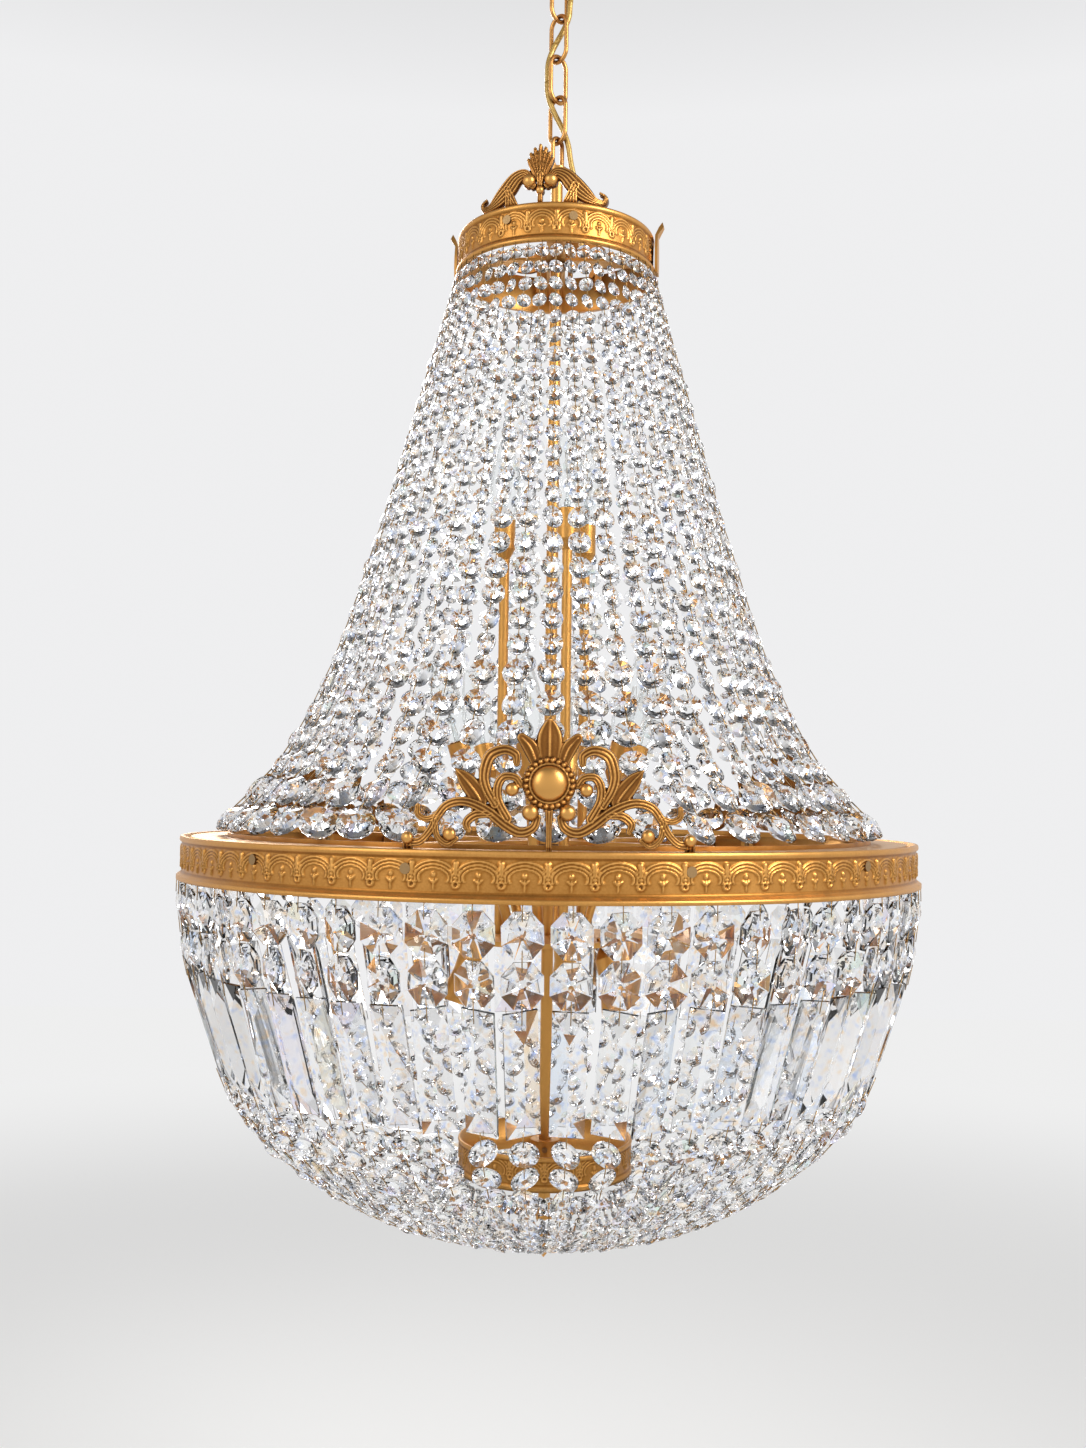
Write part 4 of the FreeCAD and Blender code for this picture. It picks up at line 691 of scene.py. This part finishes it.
def square_axes(axis):
    """A direction at unit length, and two more that stand square to it and to each other."""
    axis = unit(np.array(axis))
    side = unit(np.cross(axis, (0.3, 0.9, 0.2)))
    return axis, side, np.cross(axis, side)


def turned_about(outline, base, axis, sides):
    """An outline of radius and height turned about an axis from its base."""
    axis, side, over = square_axes(axis)
    turn = np.linspace(0, 2 * np.pi, sides, endpoint=False)
    ring = np.cos(turn)[:, None] * side + np.sin(turn)[:, None] * over
    outline = np.array(outline, float)
    points = base + outline[:, 1, None, None] * axis + outline[:, 0, None, None] * ring[None]
    return points.reshape(-1, 3), [wrapped_quads(len(outline), sides)]


def envelope(radius, length, start):
    """A bulb's outline: a cubic curve through the widths at shoulder, belly, neck and tip, with both ends
    closed."""
    tip, shoulder = 4.5, min(radius, 8.2) * 0.9
    t = np.linspace(0, 1, 26)
    knots, widths = (0, 0.36, 0.72, 1.0), (shoulder, radius, radius * 0.72, tip)
    swell = np.polynomial.Polynomial.fit(knots, widths, 3)(t)
    outline = [(0.01, start)] + [(r, start + length * s) for r, s in zip(swell, t)]
    return outline + [(tip * 0.7, start + length), (0.01, start + length)]


def bulb(name, base, axis, radius, length, start):
    """The envelope, its inner stem, its filament and its cap, all riding on the bulb's own body. The filament
    rises and falls three times along the axis while it winds about it."""
    points, faces = turned_about(envelope(radius, length, start), base, axis, 28)
    piece = finish_mesh(name + "_glass", points, faces, bulb_glass, name)
    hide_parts(name)
    stem_line = [(0.01, start), (2.6, start), (2.2, start + length * 0.1), (1.3, start + length * 0.32),
                 (0.01, start + length * 0.34)]
    points, faces = turned_about(stem_line, base, axis, 10)
    finish_mesh(name + "_inner_stem", points, faces, stem_glass, name)
    along, side, over = square_axes(axis)
    t = np.linspace(0, 1, 60)[:, None]
    spread = radius * 0.36 * np.sin(np.pi * t) ** 0.6
    rise = start + length * (0.3 + 0.36 * np.abs(np.sin(3 * np.pi * t)))
    loop = base + rise * along + spread * (np.cos(6 * t) * side + np.sin(6 * t) * over)
    points, faces = swept_tube(loop, 0.16, 5)
    finish_mesh(name + "_filament", points, faces, filament, name)
    cap_line = [(0.01, start - 21), (5.5, start - 21), (6.8, start - 18), (6.8, start + 0.2),
                (0.01, start + 0.2)]
    points, faces = turned_about(cap_line, base, axis, 20)
    finish_mesh(name + "_cap", points, faces, gold, name)


def around(azimuth_deg, radius, level):
    """A point at an azimuth, counted from the front towards the right."""
    angle = math.radians(azimuth_deg)
    return np.array([radius * math.sin(angle), -radius * math.cos(angle), level])


def leaning(azimuth_deg, tilt_deg):
    """The direction that leans outwards from straight up at an azimuth."""
    tilt = math.radians(tilt_deg)
    return around(azimuth_deg, math.sin(tilt), math.cos(tilt))


bulb_glass = clear_glass("bulb_glass", (0.97, 0.98, 0.98), 0.22)
stem_glass = clear_glass("bulb_stem_glass", (0.90, 0.92, 0.92), 0.5)
filament = shaded_aged_gold("filament", (0.05, 0.04, 0.03), (0.22, 0.18, 0.14), (0.40, 0.34, 0.26), 0.4)
plate_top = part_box("lamp_plate")[1][2] / MM
for kind, count, first, ring, foot, tube, lean, radius, length, start in LAMPS:
    for i in range(count):
        turn = first + i * 360 / count
        base = around(turn, ring, plate_top + foot) + tube * leaning(turn, lean)
        bulb(f"bulb_{kind}_{i + 1}", base, leaning(turn, lean), radius, length, start)
dress(gold, "tall_lamp_tubes", "tall_lamp_holders", "mid_lamp_tubes", "mid_lamp_holders", "down_lamp_cups")


# ---------------------------------------------------------------- Upper crystals
# Strands of round two-hole crystals, pinned together with thin brass wire, from the crown's lower edge to the
# shelf inside the large ring. The crystals grow towards the ring, and each hangs turned a little its own way.

TENT_STRANDS, TENT_TOP_RADIUS, TENT_FOOT_RADIUS = 48, 82.8, 273.5
TENT_SLOPE, TENT_FADE = 0.27, 62
# The size, pitch and number of each kind of crystal on a strand, from the crown down.
TENT_CRYSTALS = ((12, 16, 5), (14.5, 18, 9), (18, 21.5, 6), (21.5, 25.5, 4), (28, 32, 2))
dice = np.random.default_rng(12)


def crystal_material():
    """Cut lead glass: clear, with a painted fire of rainbow colours on some facets and painted shade on
    others, and soft patches of painted rainbow colour.
    """
    material, shader, add = node_material("cut_crystal")
    # Painted fire: soft patches of rainbow colour, standing in for the light the glass splits.
    spectrum = add("ValToRGB", {"Fac": noise(add, 210, 0)})
    ramp(spectrum, (0.32, (0.34, 0.52, 1.0)), (0.45, (0.97, 0.98, 1.0)), (0.56, (1.0, 0.97, 0.90)),
         (0.66, (1.0, 0.64, 0.28)))
    where = add("ValToRGB", {"Fac": noise(add, 95, 1)})
    ramp(where, (0.50, (0, 0, 0)), (0.66, (0.75, 0.75, 0.75)))
    fire_and_shade = add("Attribute", {}, attribute_name="fire_and_shade")
    tint = add("Mix", {0: where.outputs["Color"], 6: fire_and_shade.outputs["Color"], 7: spectrum.outputs["Color"]},
               data_type="RGBA")
    fill(shader, {"Base Color": tint.outputs[2], "Transmission Weight": 1, "Roughness": 0, "IOR": 1.6})
    return material


def cut_stone(corner, height, table, thickness, girdle):
    """A stone of unit width in the XZ plane, as points and as facets with their painted shade, which is
    deeper at the girdle. The girdle has sixteen points, of which every second one lies at the corner radius.
    On each face, eight main facets run from three girdle points to a small table."""
    turn = np.arange(16) * np.pi / 8
    radius = np.where(np.arange(16) % 2, corner, 0.5)
    rim = np.stack([np.sin(turn) * radius, 0 * turn - girdle / 2, np.cos(turn) * radius * height], -1)
    middle = turn[1::2]
    table_x, table_z = np.sin(middle) * table / 2, np.cos(middle) * table / 2 * height
    ring = np.stack([table_x, 0 * middle - thickness / 2, table_z], -1)
    points = np.vstack([rim, rim * (1, -1, 1), ring, ring * (1, -1, 1)])
    k = np.arange(8)
    after, before = (2 * k + 1) % 16, (2 * k - 1) % 16
    front = np.stack([after, 2 * k, before, 32 + (k - 1) % 8, 32 + k], -1)
    rear = np.stack([before + 16, 2 * k + 16, after + 16, 40 + k, 40 + (k - 1) % 8], -1)
    j = np.arange(16)
    band = np.stack([j, (j + 1) % 16, (j + 1) % 16 + 16, j + 16], -1)
    tables = np.stack([39 - k, 40 + k])
    return points, [(np.vstack([front, rear]), 1), (band, 0.62), (tables, 1)]


def strewn(name, template, places, node):
    """Copies of one stone as a single mesh, at places given by an origin and three scaled axes, with a
    colour for every facet that carries its painted fire and painted shade."""
    stone, groups = template
    origin, axes = places
    points = (origin[:, None, :] + stone @ axes).reshape(-1, 3)
    offset = (np.arange(len(origin)) * len(stone))[:, None, None]
    corners = [(faces[None] + offset).reshape(-1, faces.shape[1]) for faces, shade in groups]
    piece = finish_mesh(name, points, corners, crystal, "chandelier", smooth=False)
    colours = [facet_colours(len(faces), shade).repeat(faces.shape[1], axis=0)
               for faces, (_, shade) in zip(corners, groups)]
    fire_and_shade = piece.data.color_attributes.new("fire_and_shade", "FLOAT_COLOR", "CORNER")
    fire_and_shade.data.foreach_set("color", np.concatenate(colours).ravel())
    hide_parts(node)


def facet_colours(count, shade):
    """Almost white for most facets, and now and then a painted fire of amber, blue, violet or green, each
    times its painted shade.
    """
    palette = np.array([(1.0, 0.72, 0.42), (0.55, 0.74, 1.0), (0.80, 0.66, 1.0), (0.66, 0.95, 0.78),
                        (1.0, 0.90, 0.5)])
    pick = dice.integers(0, len(palette), count)
    strength = np.where(dice.random(count) < 0.13, dice.random(count) * 0.8, 0.03)[:, None]
    colour = (1 - strength) * np.array([0.985, 0.99, 1.0]) + strength * palette[pick]
    return np.column_stack([colour * shade, np.ones(count)]).astype(np.float32)


def strand_line(spots, crystals):
    """Middles, unit directions down the strand and sizes of the crystals on a line of radius and height.
    Sizes and pitches are scaled by one factor, so that the pitches fill the line."""
    size, pitch, number = np.array(crystals, float).T
    sizes, pitches = np.repeat(size, number.astype(int)), np.repeat(pitch, number.astype(int))
    ends = np.cumsum(pitches)
    reach = np.concatenate([[0], np.cumsum(np.hypot(*np.diff(spots, axis=0).T))])
    share = reach[-1] / ends[-1]
    a, b = (np.stack([np.interp(marks * share, reach, spots[:, i]) for i in (0, 1)], -1)
            for marks in (ends - pitches, ends))
    return (a + b) / 2, unit(b - a), sizes * share


def strand_axes(strands, first_turn):
    """Outward and sideways directions of strands that are spread evenly around the stem."""
    turn = first_turn + np.arange(strands) * 2 * np.pi / strands
    outward = np.stack([np.sin(turn), -np.cos(turn), 0 * turn], -1)
    return outward, np.stack([np.cos(turn), np.sin(turn), 0 * turn], -1)


def hung(middles, ways, sizes, strands, first_turn, twist, lean):
    """Places of stones on every strand, each an origin and three axes: sideways, outwards and along the
    strand, turned about it by a random twist, tipped by a random lean and scaled by the stone's size."""
    outward, _ = strand_axes(strands, first_turn)
    origin, axes = [], []
    for (r, z), (wr, wz), size in zip(middles, ways, sizes):
        down = outward * wr + (0, 0, wz)
        face = outward * -wz + (0, 0, wr)
        spin = dice.uniform(-twist, twist, strands)[:, None]
        tip = dice.uniform(-lean, lean, strands)[:, None]
        across = np.cross(down, face) * np.cos(spin) + face * np.sin(spin)
        down = unit(down + across * tip)
        across = unit(across - down * np.sum(across * down, 1)[:, None])
        origin.append(outward * r + (0, 0, z))
        axes.append(np.stack([-across, -np.cross(across, down), -down], 1) * size)
    return np.concatenate(origin), np.concatenate(axes)


def wire_ends(middles, ways, sizes):
    """Ends, as radius and height, of the wire between each stone and the next: in front of each stone's face,
    0.3 of its size from its middle."""
    front = 0.17 * sizes[:, None] * np.stack([-ways[:, 1], ways[:, 0]], -1)
    reach = 0.3 * sizes[:, None] * ways
    return list(zip((middles + reach + front)[:-1], (middles - reach + front)[1:]))


def wires(name, strands, first_turn, gaps):
    """Thin straight wires of three sides between two spots of radius and height, on every strand."""
    thick = 0.42
    outward, side = strand_axes(strands, first_turn)
    points = []
    for upper, lower in gaps:
        way = unit(np.subtract(lower, upper))
        face = outward * -way[1] + (0, 0, way[0])
        for r, z in (upper, lower):
            points += [outward * r + (0, 0, z) + thick * (math.cos(a) * face + math.sin(a) * side)
                       for a in (0, 2 * np.pi / 3, 4 * np.pi / 3)]
    first = (np.arange(len(gaps))[:, None] * 6 * strands + np.arange(strands)).reshape(-1, 1, 1)
    groups = [(first + strands * np.array(faces)).reshape(-1, len(faces[0]))
              for faces in ([(0, 1, 4, 3), (1, 2, 5, 4), (2, 0, 3, 5)], [(2, 1, 0), (3, 4, 5)])]
    return finish_mesh(name, np.array(points).reshape(-1, 3), groups, pin_brass, "chandelier")


crystal = crystal_material()
pin_brass = shaded_aged_gold("pin_brass", (0.05, 0.025, 0.010), (0.26, 0.140, 0.050), (0.52, 0.33, 0.13), 0.35)
round_stone = cut_stone(corner=0.5, height=1, table=0.30, thickness=0.46, girdle=0.09)


def tent():
    """Upper strands. Their line's radius is a straight slope plus a flare, which is e to the power of minus
    the drop that is left, over a fading length."""
    start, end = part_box("tent_crystals_small")[1][2] / MM + 0.3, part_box("main_shelf")[1][2] / MM + 1.5
    drop = start - end
    flare = TENT_FOOT_RADIUS - TENT_TOP_RADIUS - TENT_SLOPE * drop
    d = np.linspace(0, drop, 160)
    radius = TENT_TOP_RADIUS + TENT_SLOPE * d + flare * np.exp((d - drop) / TENT_FADE)
    middles, ways, sizes = strand_line(np.stack([radius, start - d], -1), TENT_CRYSTALS)
    for label, part in (("small", slice(0, 8)), ("medium", slice(8, 17)), ("large", slice(17, None))):
        places = hung(middles[part], ways[part], sizes[part], TENT_STRANDS, 0, twist=0.6, lean=0.06)
        strewn(f"tent_crystals_{label}_cut", round_stone, places, f"tent_crystals_{label}")
    gaps = wire_ends(middles, ways, sizes)
    top_gap = (TENT_TOP_RADIUS + 2.2, start + 4), gaps[0][0] - (0, TENT_CRYSTALS[0][0])
    wires("tent_wires", TENT_STRANDS, 0, [top_gap, *gaps])


tent()


# ---------------------------------------------------------------- Basket
# Wire hooks in the large ring's lower edge carry two rows of octagons and a row of long ridged prisms. Below
# them, strands of crystals run along the bowl's belly and up to the bottom ring.

BASKET_STRANDS, BASKET_TURN = 60, math.radians(3)
HOOK_RADIUS, HOOK_DROP = 298.5, 3.8
OCTAGON, ROW_DROP, ROW_INSET, ROW_GAP = 27, 31.2, 4, 0.5
PRISM_LONG, PRISM_WIDTH, PRISM_INSET = 92, 23, 29
BELLY_DROP, BELLY_RADIUS, BELLY_END_RADIUS = 116, 95, 73.2
# The size, pitch and number of each kind of crystal on the belly, from the prisms down.
BELLY_BEADS = ((20, 23, 3), (16, 18.5, 7), (14, 16.5, 3))
# Distances of the wires' ends from the middle of an octagon, a prism and the first bead, and their stand-off.
OCTAGON_HOLE, PRISM_TOP_HOLE, PRISM_FOOT_HOLE, BEAD_HOLE, WIRE_OUT = 9, 37, 40, 7, (4.2, 0)


def ridged_bar(width, height, thick, edge, hip):
    """A long flat stone with a flat back, as points and facets with their painted shade, deepest on the
    upright edge.
    Its front is hipped like a roof: an upright edge all round, and a ridge that stops short of both ends."""
    w, h, y = width / 2, height / 2, thick / 2
    loop = [(-w, -h), (w, -h), (w, h), (-w, h)]
    points = np.array([(a, y, b) for a, b in loop] + [(a, y - edge, b) for a, b in loop]
                      + [(0, -y, hip - h), (0, -y, h - hip)])
    faces = np.array([(5, 6, 9, 8), (7, 4, 8, 9), (3, 2, 1, 0)])
    rim = np.array([(5, 4, 0, 1), (6, 5, 1, 2), (7, 6, 2, 3), (4, 7, 3, 0)])
    return points, [(faces, 1), (rim, 0.42), (np.array([(4, 5, 8), (6, 7, 9)]), 0.93)]


def cubic(a, b, c, d, count):
    """Points of a cubic curve with end points a and d, pulled towards b and c."""
    t = np.linspace(0, 1, count + 1)[1:, None]
    a, b, c, d = (np.array(p, float) for p in (a, b, c, d))
    return (1 - t) ** 3 * a + 3 * t * (1 - t) ** 2 * b + 3 * t * t * (1 - t) * c + t ** 3 * d


def basket():
    """The rows from the large ring down, on one line of radius and height. The belly is two cubic curves, one
    inwards to its lowest place and one up to the bottom ring."""
    foot, ring_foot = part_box("main_band")[0][2] / MM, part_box("bottom_ring")[0][2] / MM
    octagon = cut_stone(corner=0.541, height=1.12, table=0.14, thickness=0.40, girdle=0.08)
    a, rows = np.array([HOOK_RADIUS, foot - HOOK_DROP]), []
    for i in (1, 2):
        b = a - (ROW_INSET, ROW_DROP)
        middle, way = (a + b) / 2, unit(b - a)
        rows.append((middle, way))
        places = hung([middle], [way], [OCTAGON], BASKET_STRANDS, BASKET_TURN, twist=0.35, lean=0.05)
        strewn(f"octagon_row_{i}_cut", octagon, places, f"octagon_row_{i}")
        a = b - (0, ROW_GAP)
    b = a - (PRISM_INSET, math.sqrt(PRISM_LONG ** 2 - PRISM_INSET ** 2))
    prism, way = (a + b) / 2, unit(b - a)
    places = hung([prism], [way], [1], BASKET_STRANDS, BASKET_TURN, twist=0.5, lean=0.02)
    bar = ridged_bar(PRISM_WIDTH, PRISM_LONG - 3, thick=7.6, edge=2.2, hip=20)
    strewn("prisms_cut", bar, places, "drop_prisms")
    low = b[1] - BELLY_DROP
    line = np.vstack([b, cubic(b, b + way * 46, (157, low), (BELLY_RADIUS, low), 40),
                      cubic((BELLY_RADIUS, low), (81, low), (BELLY_END_RADIUS, ring_foot - 18),
                            (BELLY_END_RADIUS, ring_foot - 1.5), 16)])
    middles, ways, sizes = strand_line(line, BELLY_BEADS)
    places = hung(middles, ways, sizes, BASKET_STRANDS, BASKET_TURN, twist=0.7, lean=0.07)
    strewn("belly_beads_cut", round_stone, places, "basket_beads")
    (upper, down), (lower, _) = rows
    hole, out = down * OCTAGON_HOLE, np.array(WIRE_OUT)
    gaps = [((HOOK_RADIUS + 3.1, foot + 3.4), upper - hole + out), (upper + hole + out, lower - hole + out),
            (lower + hole + out, prism - way * PRISM_TOP_HOLE + out),
            (prism + way * PRISM_FOOT_HOLE + out, middles[0] - ways[0] * BEAD_HOLE + out)]
    hooks = wires("basket_wires", BASKET_STRANDS, BASKET_TURN, gaps + wire_ends(middles, ways, sizes))
    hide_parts("basket_hooks")


basket()


# ---------------------------------------------------------------- Bottom ring and finial
# A small stamped ring on two flat bars, clamped to the stem by a collar with a screw, and below it a cast
# fluted bud on the stem's end.


def fluted_bud(node):
    """A bud turned about the stem: its outline swells and draws in to a neck, and ten flutes, each a raised
    cosine of the turn, fade out towards the ends."""
    low, high = (np.array(c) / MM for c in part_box(node))
    rows, sides, flutes = 60, 96, 10
    t = np.linspace(0, 1, rows)[:, None]
    outline = np.interp(t, (0, 0.08, 0.3, 0.5, 0.62, 0.72, 0.8, 0.84, 0.9, 1.0),
                        (0.02, 2.4, 7.6, 10.4, 10.6, 9.2, 7.0, 6.4, 6.8, 6.2))
    turn = np.linspace(0, 2 * np.pi, sides, endpoint=False)
    fade = 0.11 * np.sin(np.pi * np.clip(t / 0.86, 0, 1)) ** 0.7
    depth = fade * (0.5 + 0.5 * np.cos(flutes * turn))
    points = revolved(outline * (1 - depth), low[2] + t * (high[2] - low[2]), turn)
    centre = len(points)
    points = np.vstack([points, (0, 0, high[2])])
    j = np.arange(sides)
    lid = np.stack([j + centre - sides, (j + 1) % sides + centre - sides, np.full(sides, centre)], -1)
    piece = finish_mesh("fluted_finial", points, [wrapped_quads(rows, sides), lid], crest_gold, "finial")
    # Painted shading: painted shade down the flutes, and the lid at a middle level.
    paint_shading(piece, np.clip(np.append(0.85 - 2.5 * depth, 0.5), 0, 1))
    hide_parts(node)


stamped_ring("lower_ring", "bottom_ring", wall=2, rim=1.2, flange=0, arches=16, steps=30, depth=0.9, rows=26)
dress(gold, "bottom_spider")
fluted_bud("finial")
